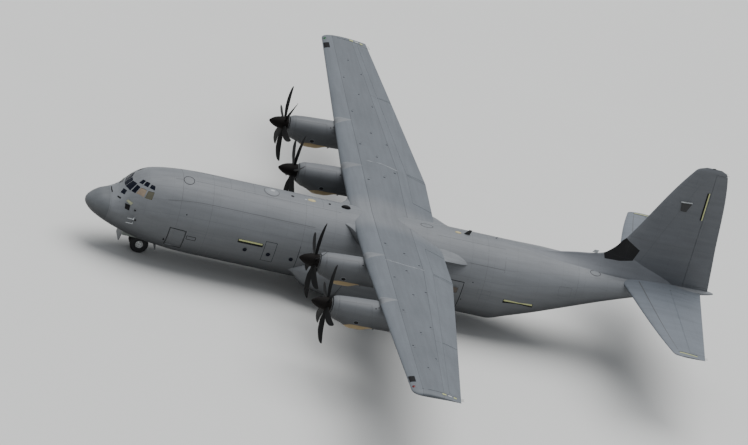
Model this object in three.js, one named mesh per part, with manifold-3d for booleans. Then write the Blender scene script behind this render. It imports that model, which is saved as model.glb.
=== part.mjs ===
// A four-engined, high-winged military transport aircraft parked on its landing gear, at half size.
// Every size below is the full-size aircraft's, in millimetres: X runs aft from the nose tip,
// Y to starboard and Z up from the ground. The last lines scale the group and centre it.

import * as THREE from "three";
import { ConvexGeometry } from "three/addons/geometries/ConvexGeometry.js";
import { mergeVertices } from "three/addons/utils/BufferGeometryUtils.js";
import Module from "manifold-3d";

const wasm = await Module();
wasm.setup();

// Overall sizes
const modelScale = 0.5;
const overallLength = 34370;
const wingSpan = 40410;
const tailSpan = 16050;
const finTop = 11810;
const seam = 1; // gap between fixed pieces that meet
const runningGap = 14; // gap round a piece that moves
const slotEase = 1.2; // how much larger a slot is than the wing or tailplane that sits in it
const pinPlay = 0.7; // between a pin and its bore
const pinRadius = 20;
const pinSides = 8;
const endGap = 30; // beside the ends of a flap, which shifts sideways a little as it runs down

// Fuselage
const wall = 110;
const floorTop = 1200;
const crownHeight = 4965;
const keelHeight = 800;
const waistHeight = 2800;
const bodyHalfWidth = 2165;
const ringSides = 28;
const radomeEnd = 1130;
const flightDeckEnd = 6200;
const forwardEnd = 13000;
const centreEnd = 20620;
const aftEnd = 30100;
const rampHinge = 22340;
const rampEnd = 25440;
const rampEndHeight = 1996;
const rampFaceLean = 0.465; // the ramp's aft face leans forward by this share of its height
const cargoDoorEnd = 29900;
const cargoDoorHinge = 3684; // height of the hinges at the cargo door's aft edge
const cargoDoorTravel = THREE.MathUtils.degToRad(20);

// Wing
const wingLeading = 13980;
const wingRootChord = 4880;
const tipLeading = 14480;
const tipChord = 2580;
const wingBreak = 5590; // half-span of the centre wing
const wingHeight = 4500; // at 40 % of the chord on the centreline
const dihedral = THREE.MathUtils.degToRad(2.5);
const rootIncidence = THREE.MathUtils.degToRad(3);
const rootThickness = 0.18;
const tipThickness = 0.12;
const controlShare = 0.76; // where flaps and ailerons start, as a share of the chord
const flapPivotDrop = 900; // the flap's circular track has its centre this far below the flap's nose

// Engines and propellers
const spinnerTip = 10660;
const spinnerLength = 1040;
const propellerPlane = 11500;
const propellerRadius = 2057;
const nacelleFront = 11760;
const engines = [
  // side (-1 port), distance from the centreline, axis height, angle of the first blade
  { side: -1, out: 10150, axis: 4270, phase: 22 },
  { side: -1, out: 5070, axis: 4050, phase: 8 },
  { side: 1, out: 5070, axis: 4050, phase: 0 },
  { side: 1, out: 10150, axis: 4270, phase: 25 },
];

// Landing gear
const wheelSides = 24;
const hubSides = 12;
const mainTyre = { radius: 710, width: 500, bore: 300 };
const noseTyre = { radius: 495, width: 310, bore: 205 };
const mainWheelSide = 2175;
const mainWheelPlaces = { front: 14980, rear: 16500 };
const mainLegSide = 1670;
const noseLegPlace = 3430;
const noseWheelSide = 300;
const flatDown = Math.cos(Math.PI / wheelSides); // a tyre stands on one of its flats
const mainAxle = mainTyre.radius * flatDown;
const noseAxle = noseTyre.radius * flatDown;

const paint = (colour, roughness, metalness = 0) =>
  new THREE.MeshStandardMaterial({ color: colour, roughness, metalness });
const grey = paint(0x83898c, 0.55);
const darkGrey = paint(0x5c6165, 0.55);
const wingGrey = paint(0x7d8489, 0.55);
const radomeGrey = paint(0x777b7d, 0.6);
const bladeBlack = paint(0x26221f, 0.5);
const rubber = paint(0x1f1f20, 0.9);
const legWhite = paint(0xc9ccca, 0.4);
const floorGrey = paint(0x6d7275, 0.8);

const part = new THREE.Group();

// Solids: closed meshes handed to and from the boolean library

function toSolid(geometry) {
  let g = geometry.clone();
  g.deleteAttribute("normal");
  g.deleteAttribute("uv");
  g = mergeVertices(g, 1e-2);
  const triVerts = new Uint32Array(g.index.array);
  const vertProperties = new Float32Array(g.attributes.position.array);
  const closed = () => new wasm.Manifold(new wasm.Mesh({ numProp: 3, vertProperties, triVerts }));
  const solid = closed();
  if (solid.volume() >= 0) return solid;
  for (let i = 0; i < triVerts.length; i += 3) {
    const first = triVerts[i];
    triVerts[i] = triVerts[i + 1];
    triVerts[i + 1] = first;
  }
  return closed();
}

function toGeometry(solid) {
  const m = solid.getMesh();
  const position = new Float32Array(m.numVert * 3);
  for (let i = 0; i < m.numVert; i++)
    position.set(m.vertProperties.subarray(i * m.numProp, i * m.numProp + 3), i * 3);
  return new THREE.BufferGeometry()
    .setAttribute("position", new THREE.BufferAttribute(position, 3))
    .setIndex(new THREE.BufferAttribute(new Uint32Array(m.triVerts), 1));
}

// Adds a solid to the part, without the loose offcuts that a cut may leave beside it.
function add(name, solid, material) {
  const pieces = solid.decompose().sort((a, b) => b.volume() - a.volume());
  const mesh = new THREE.Mesh(toGeometry(pieces[0]), material);
  mesh.name = name;
  part.add(mesh);
  return mesh;
}

const join = (...solids) => solids.reduce((sum, s) => sum.add(s));
const mirrored = (solid) => solid.mirror([0, 1, 0]);

// A closed solid through rings of points, all of one count, each ring capped at its middle.
function loft(rings) {
  const count = rings[0].length;
  const middle = (ring) => ring.reduce((s, p) => s.add(p), new THREE.Vector3()).divideScalar(count);
  const points = [...rings.flat(), middle(rings[0]), middle(rings[rings.length - 1])];
  const first = points.length - 2;
  const last = points.length - 1;
  const index = [];
  for (let i = 0; i < count; i++) {
    const next = (i + 1) % count;
    for (let r = 0; r + 1 < rings.length; r++) {
      const a = r * count + i;
      const b = r * count + next;
      index.push(a, b, b + count, a, b + count, a + count);
    }
    const end = (rings.length - 1) * count;
    index.push(first, next, i, last, end + i, end + next);
  }
  const g = new THREE.BufferGeometry().setFromPoints(points);
  g.setIndex(index);
  return toSolid(g);
}

function box(x0, x1, y0, y1, z0, z1) {
  const g = new THREE.BoxGeometry(x1 - x0, y1 - y0, z1 - z0);
  return toSolid(g.translate((x0 + x1) / 2, (y0 + y1) / 2, (z0 + z1) / 2));
}

const hull = (points) => toSolid(new ConvexGeometry(points.map((p) => new THREE.Vector3(...p))));

// A round bar or cone from one point to another.
function bar(from, to, radius, endRadius = radius, sides = 12) {
  const a = new THREE.Vector3(...from);
  const b = new THREE.Vector3(...to);
  const g = new THREE.CylinderGeometry(endRadius, radius, a.distanceTo(b), sides);
  g.applyQuaternion(
    new THREE.Quaternion().setFromUnitVectors(new THREE.Vector3(0, 1, 0), b.clone().sub(a).normalize()),
  );
  const centre = a.add(b).divideScalar(2);
  return toSolid(g.translate(centre.x, centre.y, centre.z));
}

// A flat outline in the X-Z plane pushed through from y0 to y1.
function sidePlate(outline, y0, y1) {
  const shape = new THREE.Shape(outline.map(([x, z]) => new THREE.Vector2(x, z)));
  const g = new THREE.ExtrudeGeometry(shape, { depth: y1 - y0, bevelEnabled: false });
  return toSolid(g.rotateX(Math.PI / 2).translate(0, y1, 0));
}

// A flat outline in the X-Y plane pushed up from z0 to z1.
function planPlate(outline, z0, z1) {
  const shape = new THREE.Shape(outline.map(([x, y]) => new THREE.Vector2(x, y)));
  const g = new THREE.ExtrudeGeometry(shape, { depth: z1 - z0, bevelEnabled: false });
  return toSolid(g.translate(0, 0, z0));
}

const between = (a, b, t) => a + (b - a) * t;

// A row of a table at a place between its rows: the first column is the place.
function rowAt(table, place) {
  let i = 1;
  while (i < table.length - 1 && table[i][0] < place) i++;
  const [a, b] = [table[i - 1], table[i]];
  const t = THREE.MathUtils.clamp((place - a[0]) / (b[0] - a[0]), 0, 1);
  return a.map((value, k) => (k ? between(value, b[k], t) : place));
}

// Fuselage: rings whose upper and lower halves are superellipses

const fuselageTable = [
  // x, crown, keel, half-width, waist, upper power, lower power
  [0, 2330, 2230, 55, 2280, 2, 2],
  [110, 2560, 2010, 350, 2300, 2, 2],
  [330, 2740, 1810, 620, 2320, 2, 2],
  [680, 2960, 1610, 880, 2360, 2, 2],
  [1130, 3100, 1430, 1120, 2400, 2, 2.1],
  [1600, 3390, 1280, 1330, 2440, 2, 2.2],
  [1920, 3770, 1200, 1460, 2480, 2.2, 2.25],
  [2240, 4120, 1120, 1590, 2520, 2.4, 2.3],
  [2800, 4540, 1020, 1760, 2580, 2.3, 2.4],
  [3300, 4700, 945, 1890, 2630, 2.2, 2.5],
  [4000, 4830, 875, 2010, 2690, 2.1, 2.5],
  [5000, 4935, 820, 2120, 2760, 2, 2.6],
  [flightDeckEnd, crownHeight, keelHeight, bodyHalfWidth, waistHeight, 2, 2.6],
  [rampHinge, crownHeight, keelHeight, bodyHalfWidth, waistHeight, 2, 2.6],
  [23400, 4960, 1190, 2150, 2950, 2, 2.6],
  [24500, 4945, 1620, 2060, 3150, 2.1, 2.6],
  [26000, 4900, 2220, 1850, 3420, 2.2, 2.5],
  [27500, 4850, 2820, 1580, 3700, 2.4, 2.4],
  [29000, 4800, 3390, 1290, 3960, 2.6, 2.3],
  [30500, 4760, 3880, 980, 4200, 2.8, 2.2],
  [32000, 4730, 4230, 660, 4400, 2.8, 2.1],
  [33400, 4710, 4430, 340, 4540, 2.4, 2],
  [34100, 4690, 4520, 170, 4600, 2, 2],
  [overallLength, 4640, 4580, 60, 4610, 2, 2],
];

// One ring of the fuselage, its skin moved out by grow, or in where grow is negative.
function fuselageRing(x, grow = 0) {
  const [, crown, keel, halfWidth, waist, upper, lower] = rowAt(fuselageTable, x);
  const ring = [];
  for (let i = 0; i < ringSides; i++) {
    const angle = ((i + 0.5) / ringSides) * 2 * Math.PI;
    const [s, c] = [Math.sin(angle), Math.cos(angle)];
    const power = 2 / (c >= 0 ? upper : lower);
    const height = (c >= 0 ? crown - waist : waist - keel) + grow;
    const y = (halfWidth + grow) * Math.sign(s) * Math.abs(s) ** power;
    ring.push(new THREE.Vector3(x, y, waist + height * Math.sign(c) * Math.abs(c) ** power));
  }
  return ring;
}

// Every length of fuselage has rings at these places, so that neighbours share their facets.
const joints = [forwardEnd, centreEnd, aftEnd];
const stations = [...fuselageTable.map((row) => row[0]), ...joints].sort((a, b) => a - b);

function fuselageSolid(x0, x1, grow = 0) {
  const places = [x0, ...stations.filter((x) => x > x0 + 5 && x < x1 - 5), x1];
  return loft(places.map((x) => fuselageRing(x, grow)));
}

// A length of hull with its inside hollowed out; an end is left open or closed by a wall.
function hullShell(x0, x1, closedFront = false) {
  const reach = 500;
  const inner = fuselageSolid(closedFront ? x0 + wall : x0 - reach, x1 + reach, -wall);
  return fuselageSolid(x0, x1).subtract(inner);
}

// Wing sections

function wingAt(y) {
  const t = Math.max(0, (Math.abs(y) - wingBreak) / (wingSpan / 2 - wingBreak));
  return {
    leading: between(wingLeading, tipLeading, t),
    chord: between(wingRootChord, tipChord, t),
    thickness: between(rootThickness, tipThickness, Math.abs(y) / (wingSpan / 2)),
    incidence: rootIncidence * (1 - Math.abs(y) / (wingSpan / 2)),
    height: wingHeight + Math.abs(y) * Math.tan(dihedral),
    camber: 0.02,
  };
}

// Half the thickness of an aerofoil of thickness t at a share of its chord.
function halfThickness(share, t) {
  const s = Math.min(1, Math.max(0, share));
  return (
    5 * t * (0.2969 * Math.sqrt(s) - 0.126 * s - 0.3516 * s ** 2 + 0.2843 * s ** 3 - 0.1015 * s ** 4) +
    0.0015 * s
  );
}

const sidePoints = 9;

// An aerofoil's outline as shares of its chord: along the top to the nose and back below.
function aerofoil(t, camber, grow = 0) {
  const outline = [];
  for (let i = -sidePoints; i < sidePoints; i++) {
    const share = 0.5 * (1 - Math.cos((Math.PI * Math.abs(i)) / sidePoints));
    const half = halfThickness(share, t) + grow;
    outline.push([share, camber * 4 * share * (1 - share) + (i < 0 ? half : -half)]);
  }
  outline.push([1, -halfThickness(1, t) - grow]);
  return outline;
}

// How far a grown outline moves out at its nose and at its trailing edge.
const edgeGrow = (share, grow) => (share < 0.1 ? -2 * grow : share > 0.98 ? grow : 0);

// The wing's ring at a distance y from the centreline.
function wingRing(y, grow = 0, noseCut = 0, thin = 1) {
  const w = wingAt(y);
  const [s, c] = [Math.sin(w.incidence), Math.cos(w.incidence)];
  return aerofoil(w.thickness * thin, w.camber, grow / w.chord).map(([share, up]) => {
    const along = (share - 0.4) * (w.chord - noseCut) + 0.6 * noseCut;
    const grown = along + edgeGrow(share, grow);
    const rise = up * (w.chord - noseCut);
    return new THREE.Vector3(
      w.leading + 0.4 * w.chord + grown * c + rise * s,
      y,
      w.height - grown * s + rise * c,
    );
  });
}

// A point on the wing at a share of the chord, on its mean line, with half the thickness there.
function wingPoint(y, share) {
  const w = wingAt(y);
  const along = (share - 0.4) * w.chord;
  const rise = w.camber * 4 * share * (1 - share) * w.chord;
  return {
    at: [
      w.leading + 0.4 * w.chord + along * Math.cos(w.incidence) + rise * Math.sin(w.incidence),
      y,
      w.height - along * Math.sin(w.incidence) + rise * Math.cos(w.incidence),
    ],
    half: halfThickness(share, w.thickness) * w.chord,
  };
}

// How far ahead of its hinge line a fixed surface's skin ends, so that a control clears it at its limit.
const lipBack = (end, travel) => end.half * Math.tan(travel / 2) + runningGap;

// A control surface cut from a fixed surface: the fixed part keeps a round cove, the control a round nose.
// The hinge runs from one {at, half} point to another, and region is the plan or side area behind it.
function splitControl(whole, from, to, region, cutRegion) {
  const shrink = 6;
  const nose = bar(from.at, to.at, from.half - shrink, to.half - shrink, 16);
  const [a, b] = [new THREE.Vector3(...from.at), new THREE.Vector3(...to.at)];
  const run = b.clone().sub(a).normalize().multiplyScalar(runningGap);
  const cove = bar(
    a.clone().sub(run).toArray(),
    b.clone().add(run).toArray(),
    from.half + runningGap - shrink,
    to.half + runningGap - shrink,
    16,
  );
  const control = whole.intersect(region).add(nose.intersect(whole));
  return { control, fixed: whole.subtract(cutRegion).subtract(cove) };
}

// Pins on the hinge line, held by the fixed surface, that reach into the control's two ends.
function addPins({ control, fixed }, from, to) {
  const [a, b] = [new THREE.Vector3(...from.at), new THREE.Vector3(...to.at)];
  const step = b.clone().sub(a).normalize();
  const along = (p, d) => p.clone().addScaledVector(step, d).toArray();
  const reach = 60;
  const boreRadius = (pinRadius + pinPlay) / Math.cos(Math.PI / pinSides);
  let made = { control, fixed };
  for (const end of [a, b]) {
    const rod = (long, radius) => bar(along(end, -long), along(end, long), radius, radius, pinSides);
    const pin = rod(reach, pinRadius);
    const bore = rod(reach + pinPlay, boreRadius);
    made = { control: made.control.subtract(bore), fixed: made.fixed.add(pin) };
  }
  return made;
}

// A length of curved track about an axis: thick along its radius, wide along the axis.
function trackArc(centre, axis, radius, thick, width, from, to) {
  const rings = [];
  const steps = 4;
  const up = new THREE.Vector3(0, 0, 1).addScaledVector(axis, -axis.z).normalize();
  for (let i = 0; i <= steps; i++) {
    const turn = new THREE.Quaternion().setFromAxisAngle(axis, between(from, to, i / steps));
    const out = up.clone().applyQuaternion(turn);
    const corner = (r, w) => centre.clone().addScaledVector(out, radius + r).addScaledVector(axis, w);
    rings.push([
      corner(-thick / 2, -width / 2),
      corner(thick / 2, -width / 2),
      corner(thick / 2, width / 2),
      corner(-thick / 2, width / 2),
    ]);
  }
  return loft(rings);
}

// Curved tracks of the fixed wing that reach into the flap's nose, concentric with its hinge axis
function addTracks({ control, fixed }, from, to) {
  const [a, b] = [new THREE.Vector3(...from.at), new THREE.Vector3(...to.at)];
  const axis = b.clone().sub(a).normalize();
  const made = { control, fixed };
  const [thick, width, grip, root] = [30, 90, 70, 60];
  for (const share of [0.12, 0.88]) {
    const centre = a.clone().lerp(b, share).add(new THREE.Vector3(0, 0, -flapPivotDrop));
    const radius = flapPivotDrop * Math.sqrt(1 - axis.z ** 2);
    const half = between(from.half, to.half, share);
    const angle = (forward) => -forward / radius;
    const arc = (play, front, back) =>
      trackArc(centre, axis, radius, thick + 2 * play, width + 2 * play, angle(front), angle(back));
    made.fixed = made.fixed.add(arc(0, half + runningGap + root, half - grip));
    made.control = made.control.subtract(arc(pinPlay, half + root, half - grip - 2));
  }
  return made;
}

// The area behind a hinge line in plan, its ends square to the line and moved out by ease. Its front is
// moved ahead of the line by a distance for each end.
function planBehind([from, to], ease, [fromLip, toLip] = [0, 0]) {
  const [a, b] = [from, to].map((end) => new THREE.Vector2(end.at[0], end.at[1]));
  const line = b.clone().sub(a).normalize();
  const square = new THREE.Vector2(line.y, -line.x);
  const reach = 5500;
  const shifted = (p, out, aft) => p.clone().addScaledVector(line, out).addScaledVector(square, aft);
  const corner = (p, out, aft) => shifted(p, out, aft).toArray();
  const outline = [
    corner(a, -ease, -fromLip),
    corner(a, -ease, reach),
    corner(b, ease, reach),
    corner(b, ease, -toLip),
  ];
  return planPlate(outline, 2500, 7500);
}

// Centre wing and outer wings with their flaps and ailerons, built for starboard and mirrored

const controls = {
  // from and to, the distances out of its ends; ease, the gap beside them; travel, a hinged control's angle
  innerFlap: { from: 2580, to: 5520, ease: endGap },
  outerFlap: { from: 5680, to: 13740, ease: endGap },
  aileron: { from: 13860, to: 19560, ease: runningGap, travel: THREE.MathUtils.degToRad(20) },
};

function cutControls(solid, names) {
  const made = {};
  let fixed = solid;
  for (const name of names) {
    const { from, to, ease, travel } = controls[name];
    const ends = [wingPoint(from, controlShare), wingPoint(to, controlShare)];
    const lips = ends.map((end) => (travel ? lipBack(end, travel) : 0));
    const split = splitControl(fixed, ...ends, planBehind(ends, 0), planBehind(ends, ease, lips));
    const cut = travel ? addPins(split, ...ends) : addTracks(split, ...ends);
    made[name] = cut.control;
    fixed = cut.fixed;
  }
  return { fixed, ...made };
}

const tip = wingSpan / 2;
const centreWingSolid = (grow) => loft([0, wingBreak - seam / 2].map((y) => wingRing(y, grow)));
const outerWingSolid = (grow) =>
  loft([
    wingRing(wingBreak + seam / 2, grow),
    wingRing(13000, grow),
    wingRing(tip - 420, grow),
    wingRing(tip - 130, grow, 120, 0.85),
    wingRing(tip, grow, 420, 0.45),
  ]);
const starboardCentre = cutControls(centreWingSolid(0), ["innerFlap"]);
const starboardOuter = cutControls(outerWingSolid(0), ["outerFlap", "aileron"]);
const centreWing = starboardCentre.fixed.add(mirrored(starboardCentre.fixed));
const wingSlot = centreWingSolid(slotEase).add(mirrored(centreWingSolid(slotEase)));

// Nacelles: rings about the engine's axis, with a chin intake and an oil cooler bulge below

const nacelleTable = [
  // x, half-width, height above the axis, depth below it, power
  [nacelleFront, 430, 440, 560, 2],
  [11960, 520, 520, 700, 2.1],
  [12400, 580, 570, 830, 2.2],
  [12950, 610, 610, 1040, 2.3],
  [13500, 620, 650, 1010, 2.3],
  [14100, 620, 690, 800, 2.3],
  [15200, 590, 560, 760, 2.2],
  [16200, 500, 380, 640, 2.1],
  [16900, 350, 200, 470, 2],
];

function nacelle(engine) {
  const rings = nacelleTable.map(([x, halfWidth, up, down, power]) => {
    const ring = [];
    const sides = 18;
    for (let i = 0; i < sides; i++) {
      const angle = ((i + 0.5) / sides) * 2 * Math.PI;
      const [s, c] = [Math.sin(angle), Math.cos(angle)];
      const y = halfWidth * Math.sign(s) * Math.abs(s) ** (2 / power);
      const z = (c > 0 ? up : down) * Math.sign(c) * Math.abs(c) ** (2 / power);
      ring.push(new THREE.Vector3(x, engine.out + y, engine.axis + z));
    }
    return ring;
  });
  const intake = new THREE.CylinderGeometry(1, 1, 900, 20);
  intake.rotateZ(Math.PI / 2).scale(1, 300, 95);
  const intakeCut = toSolid(intake.translate(nacelleFront + 200, engine.out, engine.axis - 440));
  const exhaust = bar([16500, engine.out, engine.axis - 200], [17100, engine.out, engine.axis - 220], 210);
  const shaft = bar(
    [spinnerTip + spinnerLength + seam, engine.out, engine.axis],
    [nacelleFront + 50, engine.out, engine.axis],
    170,
  );
  return loft(rings).subtract(intakeCut).subtract(exhaust).add(shaft);
}

// Propellers: a pointed spinner and six curved blades

const bladeTable = [
  // radius, chord, thickness, pitch from the disc in degrees, sweep towards the trailing edge
  [240, 150, 120, 62, 0],
  [520, 190, 70, 58, -10],
  [900, 290, 40, 52, -35],
  [1350, 330, 26, 45, -15],
  [1750, 290, 18, 40, 70],
  [1960, 210, 14, 38, 150],
  [propellerRadius, 90, 10, 37, 215],
];

function blade() {
  const outline = [
    [-0.5, 0],
    [-0.2, 0.5],
    [0.2, 0.42],
    [0.5, 0],
    [0.2, -0.42],
    [-0.2, -0.5],
  ];
  return loft(
    bladeTable.map(([radius, chord, thick, pitch, sweep]) => {
      const turn = THREE.MathUtils.degToRad(pitch);
      return outline.map(([a, b]) => {
        const along = a * chord + sweep;
        const up = b * thick;
        return new THREE.Vector3(
          along * Math.sin(turn) + up * Math.cos(turn),
          along * Math.cos(turn) - up * Math.sin(turn),
          radius,
        );
      });
    }),
  );
}

function propeller(engine) {
  const profile = [
    [0, 0],
    [110, 90],
    [210, 240],
    [300, 480],
    [350, 760],
    [370, spinnerLength],
    [0, spinnerLength],
  ].map(([radius, along]) => new THREE.Vector2(radius, along));
  const spinner = new THREE.LatheGeometry(profile, 18);
  spinner.rotateX(Math.PI / 2).rotateY(Math.PI / 2);
  let solid = toSolid(spinner.translate(spinnerTip - propellerPlane, 0, 0));
  const bladeSolid = blade();
  for (let i = 0; i < 6; i++) {
    solid = solid.add(bladeSolid.rotate([-(engine.phase + i * 60), 0, 0]));
  }
  return solid.translate([propellerPlane, engine.side * engine.out, engine.axis]);
}

// Tail surfaces

const stabHeight = 4570;
const stabHinge = 31780;
const stabTable = [
  // y, leading edge, trailing edge, thickness share
  [0, 28920, 33640, 0.1],
  [7600, 30735, 32610, 0.09],
  [7900, 30860, 32570, 0.08],
  [tailSpan / 2, 31200, 32560, 0.05],
];
const elevatorSpan = [900, 7560];

function stabRing([y, leading, trailing, t], grow = 0) {
  return aerofoil(t, 0, grow / (trailing - leading)).map(
    ([share, up]) =>
      new THREE.Vector3(
        between(leading, trailing, share) + edgeGrow(share, grow),
        y,
        stabHeight + up * (trailing - leading),
      ),
  );
}

function stabHalf(y) {
  const [, leading, trailing, t] = rowAt(stabTable, y);
  const share = (stabHinge - leading) / (trailing - leading);
  return { at: [stabHinge, y, stabHeight], half: halfThickness(share, t) * (trailing - leading) };
}

const stabSolid = loft(stabTable.map((row) => stabRing(row)));
const stabHalfSlot = loft(stabTable.map((row) => stabRing(row, slotEase)));
const stabSlot = stabHalfSlot.add(mirrored(stabHalfSlot));

// The room inside the tailplane ahead of its elevators, open below where the tail cone hides it
const skin = 60;
const stabHalfRoom = loft(
  [0, 7000].map((y) => {
    const [, leading, trailing, t] = rowAt(stabTable, y);
    const [front, back] = [leading + 300, stabHinge - 300];
    const deep = t * 0.42 * (trailing - leading) - skin;
    return [
      [front, deep * 0.3],
      [between(front, back, 0.35), deep],
      [back, deep * 0.9],
      [back, -deep * 0.9],
      [between(front, back, 0.35), -deep],
      [front, -deep * 0.3],
    ].map(([x, z]) => new THREE.Vector3(x, y, stabHeight + z));
  }),
);
const stabRoom = join(stabHalfRoom, mirrored(stabHalfRoom), box(30400, 31200, -150, 150, 4300, stabHeight));
const elevatorEnds = elevatorSpan.map(stabHalf);
const elevatorTravel = THREE.MathUtils.degToRad(40);
const elevatorLips = elevatorEnds.map((end) => lipBack(end, elevatorTravel));
const stabSplit = addPins(
  splitControl(
    stabSolid,
    ...elevatorEnds,
    planBehind(elevatorEnds, 0),
    planBehind(elevatorEnds, runningGap, elevatorLips),
  ),
  ...elevatorEnds,
);

const finTable = [
  // z, leading edge, trailing edge, thickness share
  [4600, 28250, 34040, 0.1],
  [5500, 28120, 33900, 0.1],
  [6150, 28400, 33800, 0.1],
  [6770, 28740, 33700, 0.1],
  [11350, 30990, 32950, 0.1],
  [11640, 31200, 32820, 0.09],
  [finTop, 31620, 32480, 0.07],
];
const rudderFoot = 4860;
const rudderHead = 11500;
const rudderTravel = THREE.MathUtils.degToRad(35);

function finHalf(z) {
  const [, leading, trailing, t] = rowAt(finTable, z);
  const hinge = between(32560, 32300, (z - rudderFoot) / (rudderHead - rudderFoot));
  return {
    at: [hinge, 0, z],
    half: halfThickness((hinge - leading) / (trailing - leading), t) * (trailing - leading),
  };
}

function finRing([z, leading, trailing, t]) {
  const chord = trailing - leading;
  return aerofoil(t, 0).map(([share, out]) => new THREE.Vector3(leading + share * chord, -out * chord, z));
}

const finSolid = loft(finTable.map(finRing));

const rudderEnds = [finHalf(rudderFoot), finHalf(rudderHead)];

function rudderArea(ease, [footLip, headLip]) {
  const [foot, head] = rudderEnds.map((end) => end.at[0]);
  const outline = [
    [foot - footLip, rudderFoot - ease],
    [36000, rudderFoot - ease],
    [36000, rudderHead + ease],
    [head - headLip, rudderHead + ease],
  ];
  return sidePlate(outline, -600, 600);
}

const rudderLips = rudderEnds.map((end) => lipBack(end, rudderTravel));
const finSplit = addPins(
  splitControl(finSolid, ...rudderEnds, rudderArea(0, [0, 0]), rudderArea(runningGap, rudderLips)),
  ...rudderEnds,
);

// The room inside the fin ahead of its rudder, open at its foot
const finRoom = loft(
  [4500, 6200, 10900].map((z) => {
    const [, leading, trailing, t] = rowAt(finTable, z);
    const [front, back] = [leading + 400, finHalf(z).at[0] - 350];
    const deep = t * 0.42 * (trailing - leading) - skin;
    return [
      [front, deep * 0.3],
      [between(front, back, 0.35), deep],
      [back, deep * 0.9],
      [back, -deep * 0.9],
      [between(front, back, 0.35), -deep],
      [front, -deep * 0.3],
    ].map(([x, y]) => new THREE.Vector3(x, y, z));
  }),
);

// The long dorsal fillet ahead of the fin
const dorsal = hull([
  [23000, 0, 4930],
  [23200, 300, 4700],
  [23200, -300, 4700],
  [28000, 330, 4600],
  [28000, -330, 4600],
  [28600, 300, 5200],
  [28600, -300, 5200],
  [27800, 50, 5640],
  [27800, -50, 5640],
  [28500, 60, 5800],
  [28500, -60, 5800],
  [28600, 250, 4600],
  [28600, -250, 4600],
]);

const bodyCutter = fuselageSolid(0, overallLength, seam);

// Doors of the hull

const crewDoor = { x0: 4370, x1: 5190, z0: 1560, z1: 2640 };
const paratroopDoor = { x0: 19500, x1: 20410, z0: 1300, z1: 3170 };

function doorBlock(door, side, ease) {
  const [near, far] = [1500, 2400];
  const y = side < 0 ? [-far, -near] : [near, far];
  return box(door.x0 - ease, door.x1 + ease, ...y, door.z0 - ease, door.z1 + ease);
}

// The ramp and the door behind it, between widths that follow the hull. The faces between them lean, so
// that neither the ramp as it lowers nor the door as it rises meets the other.
const rampFaceAt = (z) => rampEnd - rampFaceLean * (z - rampEndHeight);

function rampBlock(ease) {
  return hull(
    [-1, 1].flatMap((side) => [
      [rampHinge - ease, side * (1480 + ease), 0],
      [rampFaceAt(0) + ease, side * (1480 + ease), 0],
      [rampHinge - ease, side * (1480 + ease), 1240 + ease],
      [rampFaceAt(2400 + ease) + ease, side * (1480 + ease), 2400 + ease],
    ]),
  );
}

// The door's aft face leans forward above its hinges by its travel, which the opening doesn't.
function cargoDoorBlock(ease, lean = 0) {
  const front = (z) => rampFaceAt(z) + 2 * runningGap - ease;
  const [roof, end] = [4200, cargoDoorEnd + ease];
  const setBack = (roof - cargoDoorHinge) * Math.tan(lean);
  return hull(
    [-1, 1].flatMap((side) => [
      [front(0), side * (1400 + ease), 0],
      [front(3000), side * (1400 + ease), 3000],
      [end, side * (640 + ease), 0],
      [end, side * (640 + ease), cargoDoorHinge],
      [end - setBack, side * (640 + ease), roof],
    ]),
  );
}

// Hinge knuckles of the doors: a knuckle on the door turns on a pin between two lugs of the hull.
// from and to are the knuckle's ends on the hinge line, root is where the lugs meet the hull, and ease is
// the room round the knuckle that the open door needs.
const crewDoorHinge = { from: [4376, -1832, 1570], to: [5184, -1832, 1570], root: [0, 90, -30], ease: 48 };
const rampHinges = [-500, 500].map((y) => ({
  from: [rampHinge, y - 60, 800],
  to: [rampHinge, y + 60, 800],
  root: [-80, 0, 60],
  ease: 9,
}));
const cargoDoorHinges = [-260, 260].map((y) => ({
  from: [cargoDoorEnd, y - 40, cargoDoorHinge],
  to: [cargoDoorEnd, y + 40, cargoDoorHinge],
  root: [90, 0, 60],
  ease: 9,
}));
const knuckleRadius = 26;
const knucklePin = 12;

function hingeEnds({ from, to }, extra) {
  const [a, b] = [new THREE.Vector3(...from), new THREE.Vector3(...to)];
  const step = b.clone().sub(a).normalize().multiplyScalar(extra);
  return [a.sub(step).toArray(), b.add(step).toArray()];
}

const lugWidth = 30;
const lugSides = 8;
const lugGap = 10;

// The door with its knuckle, and gaps for the lugs beside it.
function addKnuckle(door, hinge) {
  const boreRadius = (knucklePin + pinPlay) / Math.cos(Math.PI / pinSides);
  const bore = bar(...hingeEnds(hinge, lugGap), boreRadius, boreRadius, pinSides);
  const [near, far] = [hingeEnds(hinge, 0), hingeEnds(hinge, 2 * lugGap + lugWidth)];
  let solid = door;
  for (const end of [0, 1]) solid = solid.subtract(bar(near[end], far[end], knuckleRadius + 2));
  return solid.add(bar(...hingeEnds(hinge, 0), knuckleRadius)).subtract(bore);
}

// The corners of a lug's round end at a place on the hinge line.
function lugRing(hinge, place) {
  const line = new THREE.Vector3(...hinge.to).sub(new THREE.Vector3(...hinge.from)).normalize();
  const up = new THREE.Vector3(0, 0, knuckleRadius - 4);
  return [...Array(lugSides).keys()].map((i) =>
    up.clone().applyAxisAngle(line, (2 * Math.PI * i) / lugSides).add(new THREE.Vector3(...place)).toArray(),
  );
}

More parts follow.
